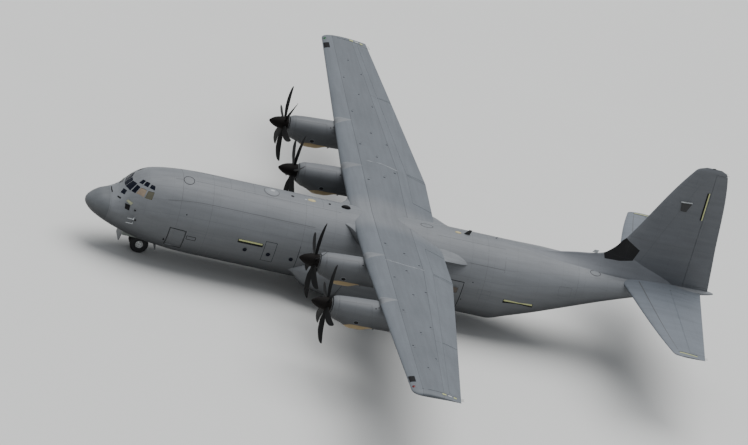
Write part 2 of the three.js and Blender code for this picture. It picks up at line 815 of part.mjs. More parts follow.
// The hull with room for a knuckle, the pin that holds it and the two lugs beside it.
function addLugs(shell, hinge) {
  let solid = shell.subtract(bar(...hingeEnds(hinge, lugGap), knuckleRadius + hinge.ease));
  solid = solid.add(bar(...hingeEnds(hinge, lugGap + lugWidth), knucklePin, knucklePin, pinSides));
  const [near, far] = [hingeEnds(hinge, lugGap), hingeEnds(hinge, lugGap + lugWidth)];
  for (const end of [0, 1]) {
    const faces = [near[end], far[end]].flatMap((place) => lugRing(hinge, place));
    const feet = faces.map((corner) => corner.map((value, axis) => value + hinge.root[axis]));
    solid = solid.add(hull([...faces, ...feet]));
  }
  return solid;
}

// Windows of the flight deck: their outlines in plan, in x and y, on the port side or across the middle
const centrePane = [[1800, -200], [1800, 200], [2090, 180], [2090, -180]];
const portPanes = [
  [[1810, -270], [2100, -250], [2250, -650], [1975, -790]],
  [[2050, -900], [2265, -745], [2395, -960], [2210, -1122]],
  [[2259, -1165], [2455, -1030], [2722, -1224], [2620, -1416]],
  [[2720, -1470], [2827, -1280], [3118, -1361], [3056, -1570]],
];
const paneFoot = 3100;
const paneHead = 5000;

function paneCutters() {
  const port = join(...portPanes.map((outline) => planPlate(outline, paneFoot, paneHead)));
  return join(planPlate(centrePane, paneFoot, paneHead), port, mirrored(port));
}

// Wheel wells
const noseWell = box(2420, 4130, -620, 620, 0, 1560);
const mainWellTop = 1640;
const mainWell = box(14080, 17400, 1420, 2590, 0, mainWellTop);
const wellHump = box(13960, 17520, 1300, 2600, 300, 1760);

// Wing root fairings: behind the trailing edge and ahead of the leading edge
const rearFairing = hull([
  [16800, 1500, 4420],
  [16800, 2540, 4500],
  [16800, 2100, 3300],
  [18860, 1200, 4620],
  [18860, 2560, 4470],
  [18860, 2100, 3600],
  [20500, 1300, 4500],
  [20500, 1650, 4180],
  [20500, 1700, 3900],
]);
const frontFairing = hull([
  [13150, 1250, 4560],
  [13150, 1500, 4250],
  [13400, 1650, 4000],
  [14200, 2560, 4750],
  [14500, 2560, 4200],
  [14600, 1700, 3800],
  [14300, 900, 4880],
]);

function buildHull() {
  const nose = fuselageSolid(0, radomeEnd - seam);
  add("radome", nose, radomeGrey);

  let flightDeck = hullShell(radomeEnd, flightDeckEnd - seam, true);
  const bayRoof = box(2300, 4250, -740, 740, 700, 1680).intersect(fuselageSolid(radomeEnd, flightDeckEnd));
  flightDeck = flightDeck.add(bayRoof).subtract(noseWell);
  flightDeck = flightDeck.subtract(doorBlock(crewDoor, -1, runningGap));
  flightDeck = flightDeck.subtract(paneCutters());
  flightDeck = addLugs(flightDeck, crewDoorHinge);
  add("flight_deck_hull", flightDeck, grey);

  add("forward_hull", hullShell(flightDeckEnd, forwardEnd - seam), grey);

  const hump = wellHump.intersect(fuselageSolid(13500, 18000));
  let centre = join(hullShell(forwardEnd, centreEnd - seam), hump, mirrored(hump));
  for (const fairing of [rearFairing, frontFairing]) centre = join(centre, fairing, mirrored(fairing));
  const hold = fuselageSolid(forwardEnd - 500, centreEnd + 500, -wall).subtract(join(hump, mirrored(hump)));
  centre = centre.subtract(hold);
  centre = centre.subtract(mainWell).subtract(mirrored(mainWell)).subtract(wingSlot);
  for (const side of [-1, 1]) centre = centre.subtract(doorBlock(paratroopDoor, side, seam));
  add("centre_hull", centre, grey);

  let aft = hullShell(centreEnd, aftEnd - seam);
  aft = aft.subtract(rampBlock(runningGap)).subtract(cargoDoorBlock(runningGap)).subtract(stabSlot);
  for (const hinge of [...rampHinges, ...cargoDoorHinges]) aft = addLugs(aft, hinge);
  add("aft_hull", aft, grey);
  add("tail_cone", fuselageSolid(aftEnd, overallLength).subtract(stabSlot), grey);

  const floorRoom = fuselageSolid(flightDeckEnd, rampHinge, -wall - seam);
  const floorSlab = box(flightDeckEnd + 60, rampHinge - 2 * runningGap, -2000, 2000, 500, floorTop);
  const humps = join(wellHump, mirrored(wellHump));
  const floor = floorRoom.intersect(floorSlab).subtract(humps).subtract(humps.translate([0, 0, -2 * seam]));
  add("cargo_floor", floor, floorGrey);
  const deckRoom = fuselageSolid(2000, flightDeckEnd, -wall - seam);
  const rearDeck = box(4620, 6100, -1900, 1900, 2880, 3000);
  const frontDeck = box(2500, 4740, -1700, 1700, 2700, 2800);
  const deckStep = box(4620, 4740, -1700, 1700, 2700, 3000);
  add("flight_deck_floor", deckRoom.intersect(join(rearDeck, frontDeck, deckStep)), floorGrey);
}

function buildDoors() {
  const ramp = fuselageSolid(21000, 27000).intersect(rampBlock(0));
  add("cargo_ramp", rampHinges.reduce(addKnuckle, ramp), grey);
  const tail = fuselageSolid(24000, 31000).subtract(fuselageSolid(23000, 32000, -wall));
  const panel = tail.intersect(cargoDoorBlock(0, cargoDoorTravel));
  add("cargo_door", cargoDoorHinges.reduce(addKnuckle, panel), grey);
  const shell = fuselageSolid(3000, 6000).subtract(fuselageSolid(2500, 6500, -wall + 20));
  add("crew_door", addKnuckle(shell.intersect(doorBlock(crewDoor, -1, 0)), crewDoorHinge), grey);
  const side = fuselageSolid(19000, 21000).subtract(fuselageSolid(18500, 21500, -wall + 30));
  add("paratroop_door_port", side.intersect(doorBlock(paratroopDoor, -1, 0)), grey);
  add("paratroop_door_starboard", side.intersect(doorBlock(paratroopDoor, 1, 0)), grey);
}

function buildWings() {
  add("centre_wing", centreWing, wingGrey);
  const both = (name, solid, material) => {
    add(name + "_port", mirrored(solid), material);
    add(name + "_starboard", solid, material);
  };
  both("outer_wing", starboardOuter.fixed, wingGrey);
  both("inner_flap", starboardCentre.innerFlap, wingGrey);
  both("outer_flap", starboardOuter.outerFlap, wingGrey);
  both("aileron", starboardOuter.aileron, wingGrey);
}

function buildEngines() {
  const wing = join(centreWingSolid(slotEase), outerWingSolid(slotEase));
  engines.forEach((engine, i) => {
    const body = nacelle(engine).subtract(wing);
    add("nacelle_" + (i + 1), engine.side < 0 ? mirrored(body) : body, grey);
    add("propeller_" + (i + 1), propeller(engine), bladeBlack);
  });
}

function buildTail() {
  const fin = join(finSplit.fixed, dorsal).subtract(bodyCutter).subtract(stabSlot).subtract(finRoom);
  add("fin", fin, darkGrey);
  add("rudder", finSplit.control, darkGrey);
  add("tailplane", join(stabSplit.fixed, mirrored(stabSplit.fixed)).subtract(stabRoom), wingGrey);
  add("elevator_port", mirrored(stabSplit.control), wingGrey);
  add("elevator_starboard", stabSplit.control, wingGrey);
}

// A tyre about the Y axis, standing on one of its flats.
function tyre({ radius, width, bore }, at) {
  const half = width / 2;
  const profile = [
    [bore, -half * 0.72],
    [radius * 0.78, -half],
    [radius, -half * 0.56],
    [radius, half * 0.56],
    [radius * 0.78, half],
    [bore, half * 0.72],
    [bore, -half * 0.72],
  ].map(([r, y]) => new THREE.Vector2(r, y));
  const g = new THREE.LatheGeometry(profile, wheelSides);
  return toSolid(g.rotateY(Math.PI / wheelSides).translate(...at));
}

// The bore of a faceted hub whose flats clear a round axle.
const hubBore = (axleRadius) => (axleRadius + pinPlay) / Math.cos(Math.PI / hubSides);

// A dished hub that fills the tyre's bore, with a bore of its own for the axle.
function hub({ width, bore }, at, axleRadius) {
  const half = width / 2;
  const rim = bore - seam;
  const profile = [
    [axleRadius, -half * 0.55],
    [axleRadius * 2.2, -half * 0.7],
    [rim - 60, -half * 0.3],
    [rim, -half * 0.7],
    [rim, half * 0.7],
    [rim - 60, half * 0.3],
    [axleRadius * 2.2, half * 0.7],
    [axleRadius, half * 0.55],
    [axleRadius, -half * 0.55],
  ].map(([r, y]) => new THREE.Vector2(r, y));
  const g = new THREE.LatheGeometry(profile, hubSides);
  return toSolid(g.rotateY(Math.PI / wheelSides).translate(...at));
}

// The sponson beside the hull that holds the main wheels: D-shaped rings with rounded corners
const sponsonTable = [
  // x, outer side, top, bottom
  [11300, 2080, 1950, 1500],
  [11900, 2400, 2300, 1050],
  [12800, 2660, 2450, 830],
  [13800, 2790, 2500, 740],
  [17700, 2790, 2500, 740],
  [18900, 2600, 2350, 850],
  [19950, 2330, 2080, 1150],
  [20400, 2160, 1900, 1450],
];
const sponsonSquareness = 0.6;
const sponsonRoot = 1500;

function sponsonRing([x, out, top, bottom]) {
  const steps = 12;
  return [...Array(steps + 1).keys()].map((i) => {
    const angle = (Math.PI * i) / steps;
    const [s, c] = [Math.sin(angle), Math.cos(angle)];
    const y = sponsonRoot + (out - sponsonRoot) * s ** sponsonSquareness;
    const rise = ((top - bottom) / 2) * Math.sign(c) * Math.abs(c) ** sponsonSquareness;
    return new THREE.Vector3(x, y, (top + bottom) / 2 + rise);
  });
}

// A main leg at a place along the hull: sleeve, piston, axle and the links behind them.
function mainLeg(x, axleRadius) {
  const [inner, outer] = [mainLegSide - 40, mainLegSide + 40];
  const [linkFoot, linkHead] = [mainAxle + 50, 1120];
  const links = [inner, outer].flatMap((y) => [
    [x + 190, y, linkFoot],
    [x + 230, y, linkFoot],
    [x + 100, y, linkHead],
    [x + 60, y, linkHead],
  ]);
  return join(
    bar([x, mainLegSide, mainAxle - 90], [x, mainLegSide, 1200], 85),
    bar([x, mainLegSide, 1000], [x, mainLegSide, 1600], 125),
    bar([x, mainLegSide - 60, mainAxle], [x, mainWheelSide + 190, mainAxle], axleRadius),
    box(x + 60, x + 230, inner - 5, outer + 5, mainAxle + 40, mainAxle + 110),
    hull(links),
  );
}

function buildMainGear() {
  const sponson = loft(sponsonTable.map(sponsonRing))
    .subtract(fuselageSolid(10500, 22000, seam))
    .subtract(mainWell)
    .subtract(doorBlock(paratroopDoor, 1, runningGap));
  const axleRadius = 75;
  const { front, rear } = mainWheelPlaces;
  const [inner, outer] = [mainLegSide - 110, mainLegSide + 110];
  const track = box(front - 200, rear + 200, inner, outer, 1500, mainWellTop - seam);
  const legPair = join(mainLeg(front, axleRadius), mainLeg(rear, axleRadius), track);
  const belly = fuselageSolid(13500, 18000, seam);
  const doorPlate = hull(
    [14120, 17360].flatMap((x) => [
      [x, 1380, 1300],
      [x, 1412, 1300],
      [x, 1320, 470],
      [x, 1352, 460],
    ]),
  ).subtract(belly);
  for (const [end, side] of [["port", -1], ["starboard", 1]]) {
    const turn = (solid) => (side < 0 ? mirrored(solid) : solid);
    add("sponson_" + end, turn(sponson), grey);
    add("main_legs_" + end, turn(legPair), legWhite);
    add("main_door_" + end, turn(doorPlate), grey);
    for (const [place, x] of Object.entries(mainWheelPlaces)) {
      const at = [x, side * mainWheelSide, mainAxle];
      add(`main_tyre_${place}_${end}`, tyre(mainTyre, at), rubber);
      add(`main_hub_${place}_${end}`, hub(mainTyre, at, hubBore(axleRadius)), legWhite);
    }
  }
}

function buildNoseGear() {
  const x = noseLegPlace;
  const outer = join(
    bar([x, 0, 820], [x, 0, 1560 - seam], 115),
    bar([x - 60, 0, 1300], [2700, 0, 1500], 50, 50, 10),
  );
  const pistonRadius = 65;
  const pistonSides = 24;
  const sleeveRadius = (pistonRadius + pinPlay) / Math.cos(Math.PI / pistonSides);
  const sleeve = bar([x, 0, 800], [x, 0, 1330], sleeveRadius, sleeveRadius, pistonSides);
  add("nose_leg", outer.subtract(sleeve), legWhite);
  const axleRadius = 55;
  const fork = join(
    bar([x, 0, noseAxle - 60], [x, 0, 1320], pistonRadius, pistonRadius, pistonSides),
    bar([x, -noseWheelSide - 120, noseAxle], [x, noseWheelSide + 120, noseAxle], axleRadius),
    hull([
      [x - 60, -35, 560],
      [x - 60, 35, 560],
      [x - 190, -35, 640],
      [x - 190, 35, 640],
      [x - 150, -35, 700],
      [x - 150, 35, 700],
      [x - 50, -35, 790],
      [x - 50, 35, 790],
    ]),
  );
  add("nose_fork", fork, legWhite);
  for (const [end, side] of [["port", -1], ["starboard", 1]]) {
    const at = [x, side * noseWheelSide, noseAxle];
    add("nose_tyre_" + end, tyre(noseTyre, at), rubber);
    add("nose_hub_" + end, hub(noseTyre, at, hubBore(axleRadius)), legWhite);
  }
  const plate = (x0, z0, x1, z1, thick) =>
    hull([-560, 560].flatMap((y) => [
      [x0, y, z0],
      [x0 + thick, y, z0],
      [x1, y, z1],
      [x1 + thick, y, z1],
    ]));
  const belly = fuselageSolid(radomeEnd, flightDeckEnd, seam);
  add("nose_door_front", plate(2372, 1400, 2230, 520, 36).subtract(belly), grey);
  add("nose_door_rear", plate(4140, 1200, 4290, 400, 36).subtract(belly), grey);
}

buildHull();
buildDoors();
buildWings();
buildEngines();
buildTail();
buildMainGear();
buildNoseGear();

// The model stands on the ground with its middle at the origin, at half size.
const model = new THREE.Group();
part.position.x = -overallLength / 2;
model.add(part);
model.scale.setScalar(modelScale);

export default model;
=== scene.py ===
"""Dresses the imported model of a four-engined, high-winged military transport aircraft at half size.

Every size is the full-size aircraft's, in metres: X runs aft from the nose tip, Y to starboard and Z up
from the ground. in_model() turns such points into the model's own metres. A skin is (points, quads,
triangles), closed and facing outwards, and a surface is a function of two places and a height above it.
"""

import bpy
import numpy as np
from bpy.props import FloatProperty, FloatVectorProperty, IntProperty, PointerProperty
from mathutils import Matrix, Vector


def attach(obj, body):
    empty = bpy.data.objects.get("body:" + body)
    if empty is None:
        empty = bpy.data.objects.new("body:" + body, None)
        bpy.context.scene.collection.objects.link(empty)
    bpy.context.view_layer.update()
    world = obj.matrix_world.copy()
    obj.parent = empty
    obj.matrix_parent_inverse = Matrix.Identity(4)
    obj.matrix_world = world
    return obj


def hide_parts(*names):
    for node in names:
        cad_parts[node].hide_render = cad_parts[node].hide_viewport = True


bl_info = {
    "name": "Military transport plane",
    "version": (1, 0, 0),
    "blender": (4, 5, 0),
    "location": "View3D > Sidebar > Plane",
    "description": "Builds the finished surfaces of a four-engined transport plane on its packed model",
    "category": "Object",
}

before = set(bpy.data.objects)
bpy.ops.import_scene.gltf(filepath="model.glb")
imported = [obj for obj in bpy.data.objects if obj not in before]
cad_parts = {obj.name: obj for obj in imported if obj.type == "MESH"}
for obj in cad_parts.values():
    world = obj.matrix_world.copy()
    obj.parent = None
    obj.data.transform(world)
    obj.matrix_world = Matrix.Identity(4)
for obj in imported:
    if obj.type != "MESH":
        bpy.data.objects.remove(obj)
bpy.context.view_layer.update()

# Overall sizes
MODEL_SCALE = 0.5
LENGTH = 34.37
SPAN = 40.41
TAIL_SPAN = 16.05
FIN_TOP = 11.81
SEAM = 0.002  # gap between fixed pieces that meet
RUNNING_GAP = 0.014  # gap round a piece that moves
HINGE_EASE = 0.006  # by which a control's round nose is thinner than the surface
CREASE = np.radians(32)  # sharper edges aren't shaded smooth
PORT, STARBOARD = -1, 1
SIDES = {"port": PORT, "starboard": STARBOARD}

# Fuselage
WALL = 0.11
FLOOR_TOP = 1.2
RADOME_END = 1.13
FLIGHT_DECK_END = 6.2
FORWARD_END = 13.0
CENTRE_END = 20.62
AFT_END = 30.1
RAMP_HINGE = 22.34
WING_ROOT = (
    # the fairing where the wing meets the hull: x, outer side, top, edge, bottom
    (13.45, 1.15, 4.66, 4.6, 4.45),
    (13.75, 1.45, 4.68, 4.62, 4.25),
    (14.0, 1.95, 4.74, 4.62, 4.05),
    (14.3, 2.45, 4.82, 4.58, 3.85),
    (15.5, 2.53, 4.8, 4.42, 3.6),
    (17.2, 2.53, 4.68, 4.38, 3.5),
    (18.2, 2.53, 4.52, 4.38, 3.9),
    (18.9, 2.5, 4.48, 4.36, 4.2),
    (19.6, 2.2, 4.44, 4.21, 4.12),
    (20.35, 1.8, 4.28, 4.06, 4.01),
    (20.6, 1.5, 4.2, 4.03, 4.0),
)
RAMP_END, RAMP_END_HEIGHT, RAMP_FACE_LEAN = 25.44, 1.996, 0.465
CARGO_DOOR_END, CARGO_DOOR_HINGE, CARGO_DOOR_TRAVEL = 29.9, 3.684, np.radians(20)
CROWN, KEEL, WAIST, HALF_WIDTH = 4.965, 0.8, 2.8, 2.165
HULL = (
    # x, crown, keel, half-width, waist, upper power, lower power
    (0, 2.33, 2.23, 0.055, 2.28, 2, 2),
    (0.11, 2.56, 2.01, 0.35, 2.3, 2, 2),
    (0.33, 2.74, 1.81, 0.62, 2.32, 2, 2),
    (0.68, 2.96, 1.61, 0.88, 2.36, 2, 2),
    (1.13, 3.1, 1.43, 1.12, 2.4, 2, 2.1),
    (1.6, 3.39, 1.28, 1.33, 2.44, 2, 2.2),
    (1.92, 3.77, 1.2, 1.46, 2.48, 2.2, 2.25),
    (2.24, 4.12, 1.12, 1.59, 2.52, 2.4, 2.3),
    (2.8, 4.54, 1.02, 1.76, 2.58, 2.3, 2.4),
    (3.3, 4.7, 0.945, 1.89, 2.63, 2.2, 2.5),
    (4, 4.83, 0.875, 2.01, 2.69, 2.1, 2.5),
    (5, 4.935, 0.82, 2.12, 2.76, 2, 2.6),
    (FLIGHT_DECK_END, CROWN, KEEL, HALF_WIDTH, WAIST, 2, 2.6),
    (RAMP_HINGE, CROWN, KEEL, HALF_WIDTH, WAIST, 2, 2.6),
    (23.4, 4.96, 1.19, 2.15, 2.95, 2, 2.6),
    (24.5, 4.945, 1.62, 2.06, 3.15, 2.1, 2.6),
    (26, 4.9, 2.22, 1.85, 3.42, 2.2, 2.5),
    (27.5, 4.85, 2.82, 1.58, 3.7, 2.4, 2.4),
    (29, 4.8, 3.39, 1.29, 3.96, 2.6, 2.3),
    (30.5, 4.76, 3.88, 0.98, 4.2, 2.8, 2.2),
    (32, 4.73, 4.23, 0.66, 4.4, 2.8, 2.1),
    (33.4, 4.71, 4.43, 0.34, 4.54, 2.4, 2),
    (34.1, 4.69, 4.52, 0.17, 4.6, 2, 2),
    (LENGTH, 4.64, 4.58, 0.06, 4.61, 2, 2),
)
PANES = {
    # port windows of the flight deck in plan, each corner as x and y; the first lies across the middle
    "middle": ((1.8, -0.2), (1.8, 0.2), (2.09, 0.18), (2.09, -0.18)),
    "front": ((1.81, -0.27), (2.1, -0.25), (2.25, -0.65), (1.975, -0.79)),
    "corner": ((2.05, -0.9), (2.265, -0.745), (2.395, -0.96), (2.21, -1.122)),
    "side_front": ((2.259, -1.165), (2.455, -1.03), (2.722, -1.224), (2.62, -1.416)),
    "side_rear": ((2.72, -1.47), (2.827, -1.28), (3.118, -1.361), (3.056, -1.57)),
    "chin": ((1.604, -0.523), (1.721, -0.36), (1.831, -0.66), (1.747, -0.791)),
    "brow_front": ((2.365, -0.65), (2.531, -0.568), (2.633, -0.707), (2.504, -0.844)),
    "brow_middle": ((2.575, -0.925), (2.692, -0.784), (2.857, -0.912), (2.763, -1.088)),
    "brow_rear": ((2.87, -1.144), (2.958, -1.015), (3.12, -1.101), (3.113, -1.264)),
}
# the tan and olive glass of two side panes is painted reflection
PANE_REFLECTIONS = {"side_front": "glass_tan", "side_rear": "glass_olive"}
CREW_DOOR = (4.37, 5.19, 1.56, 2.64)  # x, x, z, z
CREW_HINGE = (-1.832, 1.57)  # y, z
PARATROOP_DOOR = (19.5, 20.41, 1.3, 3.17)
ROUND_WINDOWS = (8.51, 9.79, 11.05)
SIDE_HATCHES = ((6.6, 7.3, 1.5, 1.95), (12.0, 12.7, 2.9, 3.3), (21.3, 22.0, 2.5, 3.0), (25.6, 26.3, 3.5, 4.0))
BELLY_HATCHES = ((5.7, 6.5, -0.4, 0.4), (8.1, 9.1, -0.3, 0.3), (18.2, 19.2, -0.4, 0.4))
NOSE_WELL = (2.42, 4.13, -0.62, 0.62, 0, 1.56)
MAIN_WELL = (14.08, 17.4, 1.42, 2.59, 0, 1.64)

# Wing
WING_LEADING, ROOT_CHORD = 13.98, 4.88
TIP_LEADING, TIP_CHORD = 14.48, 2.58
WING_BREAK = 5.59
WING_HEIGHT = 4.5
DIHEDRAL = np.radians(2.5)
ROOT_INCIDENCE = np.radians(3)
ROOT_THICKNESS, TIP_THICKNESS = 0.18, 0.12
CAMBER = 0.02
CONTROL_SHARE = 0.76
FLAP_PIVOT_DROP = 0.9
END_GAP = 0.03  # beside a flap's ends, which shifts sideways a little as it runs down
CONTROLS = {
    # from and to, the gap beside the ends, and the travel either way of a hinged one
    "inner_flap": (2.58, 5.52, END_GAP, 0),
    "outer_flap": (5.68, 13.74, END_GAP, 0),
    "aileron": (13.86, 19.56, RUNNING_GAP, np.radians(20)),
}
FRONT_SPAR, REAR_SPAR = 0.21, 0.64  # panel joints along the wing, as shares of the chord
WING_HATCHES = ((2.9, 4.1), (6.2, 8.6), (11.4, 13.4), (14.4, 17.6))  # below, from and to
WING_DOTS = (
    # distance out and share of the chord
    (3.6, 0.25), (4.3, 0.45), (5.2, 0.6), (6.4, 0.42), (7.5, 0.25), (8.3, 0.62), (9.1, 0.44),
    (11.2, 0.25), (12.4, 0.6), (13.4, 0.43), (15.1, 0.25), (16.0, 0.6), (17.3, 0.42),
)

# Engines and propellers
SPINNER_TIP, SPINNER_LENGTH, PROPELLER_PLANE, PROPELLER_RADIUS = 10.66, 1.04, 11.5, 2.057
ENGINES = (
    # side, distance out, axis height, angle of the first blade
    (PORT, 10.15, 4.27, 22),
    (PORT, 5.07, 4.05, 8),
    (STARBOARD, 5.07, 4.05, 0),
    (STARBOARD, 10.15, 4.27, 25),
)
# the spinner's outline: x and radius
SPINNER = ((0, 0), (0.09, 0.11), (0.24, 0.21), (0.48, 0.3), (0.76, 0.35), (SPINNER_LENGTH, 0.37))
NACELLE = (
    # x, half-width, height above the axis, depth below it, power
    (11.76, 0.43, 0.44, 0.56, 2),
    (11.96, 0.52, 0.52, 0.7, 2.1),
    (12.4, 0.58, 0.57, 0.83, 2.2),
    (12.95, 0.61, 0.61, 1.04, 2.3),
    (13.5, 0.62, 0.65, 1.01, 2.3),
    (14.1, 0.62, 0.69, 0.8, 2.3),
    (15.2, 0.59, 0.56, 0.76, 2.2),
    (16.2, 0.5, 0.38, 0.64, 2.1),
    (16.9, 0.35, 0.2, 0.47, 2),
)
BLADE = (
    # radius, chord, thickness, pitch in degrees, sweep
    (0.24, 0.15, 0.12, 62, 0),
    (0.52, 0.19, 0.07, 58, -0.01),
    (0.9, 0.29, 0.04, 52, -0.035),
    (1.35, 0.33, 0.026, 45, -0.015),
    (1.75, 0.29, 0.018, 40, 0.07),
    (1.96, 0.21, 0.014, 38, 0.15),
    (PROPELLER_RADIUS, 0.09, 0.01, 37, 0.215),
)

# Tail
STAB_HEIGHT, STAB_HINGE = 4.57, 31.78
STAB = (
    # y, leading edge, trailing edge, thickness share
    (0, 28.92, 33.64, 0.1),
    (7.6, 30.735, 32.61, 0.09),
    (7.9, 30.86, 32.57, 0.08),
    (TAIL_SPAN / 2, 31.2, 32.56, 0.05),
)
ELEVATOR_SPAN = (0.9, 7.56)
ELEVATOR_TRAVEL, RUDDER_TRAVEL = np.radians((40, 35))
FIN = (
    # z, leading edge, trailing edge, thickness share
    (4.6, 28.25, 34.04, 0.1),
    (5.5, 28.12, 33.9, 0.1),
    (6.15, 28.4, 33.8, 0.1),
    (6.77, 28.74, 33.7, 0.1),
    (11.35, 30.99, 32.95, 0.1),
    (11.64, 31.2, 32.82, 0.09),
    (FIN_TOP, 31.62, 32.48, 0.07),
)
DORSAL = (
    # the fillet ahead of the fin: x, ridge, foot's height, ridge's half-width, sides' and foot's spread
    (22.4, 4.955, 4.92, 0.03, 0.0, 0.36),
    (24.5, 5.03, 4.88, 0.035, 0.0, 0.52),
    (26.3, 5.34, 4.82, 0.04, 0.03, 0.54),
    (27.83, 5.66, 4.76, 0.05, 0.12, 0.54),
    (28.1, 5.88, 4.75, 0.055, 0.15, 0.52),
    (28.4, 6.23, 4.74, 0.055, 0.17, 0.5),
    (28.74, 6.76, 4.73, 0.055, 0.19, 0.48),
    (29.4, 6.6, 4.7, 0.05, 0.18, 0.46),
    (30.4, 6.1, 4.66, 0.05, 0.16, 0.4),
    (31.4, 5.6, 4.62, 0.05, 0.12, 0.24),
    (32.2, 5.3, 4.6, 0.04, 0.06, 0.06),
)
FIN_PATCH = ((27.83, 5.65), (28.74, 6.78), (29.6, 6.33), (29.4, 5.68), (27.91, 5.42))  # black: x, z
RUDDER_SPAN = (4.86, 11.5)
RUDDER_HINGE = (32.56, 32.3)
RUDDER_EASE = 0.004  # for the curve of the fin's sides between the hinge line's ends

# Landing gear
MAIN_TYRE, NOSE_TYRE = (0.7039, 0.5, 0.3), (0.4908, 0.31, 0.205)  # rolling radius, width, bore
HUB = (
    # radius and place across the main wheel's hub, from its bore to its rim
    (0.078, -0.15), (0.12, -0.19), (0.165, -0.175), (0.19, -0.1),
    (0.235, -0.08), (0.275, -0.12), (0.285, -0.175), (0.299, -0.18),
)
# a tyre's wall from its bore to its tread, as shares of its radius and half-width, and a groove in the tread
TYRE_WALL = ((1, 0.7), (0.6, 0.94), (0.78, 1), (0.92, 0.92), (0.985, 0.74), (1, 0.5))
GROOVE = ((0, -0.012), (-0.014, -0.009), (-0.014, 0.009), (0, 0.012))
# radius and height of the sleeves round the legs
MAIN_SLEEVE = (
    (0.125, 1.0), (0.145, 1.005), (0.145, 1.06), (0.125, 1.07), (0.125, 1.5), (0.155, 1.51), (0.155, 1.6),
)
NOSE_SLEEVE = (
    (0.09, 0.82), (0.13, 0.825), (0.13, 0.88), (0.115, 0.89), (0.115, 1.5), (0.14, 1.51), (0.14, 1.556),
)
MAIN_WHEEL_SIDE, MAIN_LEG_SIDE = 2.175, 1.67
MAIN_WHEELS = {"front": 14.98, "rear": 16.5}
NOSE_LEG, NOSE_WHEEL_SIDE = 3.43, 0.3
SPONSON = (
    # x, outer side, top, bottom
    (11.05, 1.9, 1.86, 1.6),
    (11.3, 2.08, 1.95, 1.5),
    (11.9, 2.4, 2.3, 1.05),
    (12.8, 2.66, 2.45, 0.83),
    (13.8, 2.79, 2.5, 0.74),
    (17.7, 2.79, 2.5, 0.74),
    (18.9, 2.6, 2.35, 0.85),
    (19.95, 2.33, 2.08, 1.15),
    (20.4, 2.16, 1.9, 1.45),
)

# The camera: a long lens ahead of the port wing and above it, banked with the aircraft
VIEW_AZIMUTH, VIEW_ELEVATION, VIEW_ROLL = np.radians((-15.476, 24.874, 18.975))
VIEW_TARGET = (15.432, 0.539, 4.219)
VIEW_DISTANCE = 353.17
LENS, SENSOR = 321.1, 36.0
FLOOR_REACH = 400.0


# Numbers and points


def in_model(points):
    """Full-size points in the model's metres: halved, with the middle of the length at the origin."""
    return (np.asarray(points, float) - (LENGTH / 2, 0, 0)) * MODEL_SCALE


def smooth_rows(table, places, stretch=lambda x: x):
    """The columns of a table between its rows.

    A cubic joins two rows. Its slope at a row is the weighted harmonic mean of those beside it, or zero
    where they turn, so the curve never swings past a row.
    """
    rows = np.array(table, float)
    x, values = stretch(rows[:, 0]), rows[:, 1:]
    places = stretch(np.asarray(places, float))
    step = np.diff(x)[:, None]
    rise = np.diff(values, axis=0) / step
    before, after = rise[:-1], rise[1:]
    early, late = 2 * step[1:] + step[:-1], step[1:] + 2 * step[:-1]
    turns = before * after <= 0
    before, after = np.where(turns, 1, before), np.where(turns, 1, after)
    middle = np.where(turns, 0, (early + late) / (early / before + late / after))
    slope = np.vstack([rise[:1], middle, rise[-1:]])
    i = np.clip(np.searchsorted(x, places) - 1, 0, len(x) - 2)
    t = np.clip((places - x[i]) / step[i, 0], 0, 1)[..., None]
    s = 1 - t
    ends = (1 + 2 * t) * s**2 * values[i] + t**2 * (3 - 2 * t) * values[i + 1]
    return ends + step[i] * t * s * (s * slope[i] - t * slope[i + 1])


def columns(table, places):
    """The columns of a table between its rows, one by one."""
    return np.moveaxis(smooth_rows(table, places), -1, 0)


def power(value, exponent):
    """|value| to an exponent, with the sign of value."""
    return np.sign(value) * np.abs(value) ** exponent


def spread(low, high, step):
    """Places from low to high, evenly spaced by about step."""
    return np.linspace(low, high, max(2, int(np.ceil((high - low) / step)) + 1))


def circle(steps, offset=0.0):
    """Angles in even steps round a circle."""
    return (np.arange(steps) + offset) * 2 * np.pi / steps


def points_of(x, y, z):
    """Points from three coordinates that broadcast together."""
    return np.stack(np.broadcast_arrays(x, y, z), -1)


# Skins


def outward(skin):
    """A skin whose signed volume, a sixth of the sum of a·(b×c) over its triangles, is positive."""
    points, quads, tris = skin
    corners = np.concatenate([quads[:, :3], quads[:, [0, 2, 3]], tris])
    a, b, c = (points - points.mean(0))[corners].transpose(1, 0, 2)
    if np.einsum("ij,ij->", a, np.cross(b, c)) < 0:
        return points, quads[:, ::-1], tris[:, ::-1]
    return skin


def loft(rings, path_closed=False):
    """A skin through rings of points: quads join neighbours, and a fan to its middle closes an end ring."""
    rings = np.asarray(rings, float)
    count, around = rings.shape[:2]
    r = np.arange(count if path_closed else count - 1)[:, None]
    k = np.arange(around)
    beside = (k + 1) % around
    ahead = (r + 1) % count
    quads = np.stack([r * around + k, r * around + beside, ahead * around + beside, ahead * around + k], -1)
    points, tris = rings.reshape(-1, 3), np.zeros((0, 3), int)
    if not path_closed:
        first, last = np.full(around, len(points)), np.full(around, len(points) + 1)
        end = (count - 1) * around
        fans = [(first, beside, k), (last, end + k, end + beside)]
        tris = np.concatenate([np.stack(fan, -1) for fan in fans])
        points = np.concatenate([points, rings[[0, -1]].mean(1)])
    return outward((points, quads.reshape(-1, 4), tris))


def together(*skins):
    """Several skins as one, each still closed."""
    starts = np.cumsum([0] + [len(s[0]) for s in skins[:-1]])
    points = np.concatenate([s[0] for s in skins])
    quads = np.concatenate([s[1] + n for s, n in zip(skins, starts)])
    tris = np.concatenate([s[2] + n for s, n in zip(skins, starts)])
    return points, quads, tris


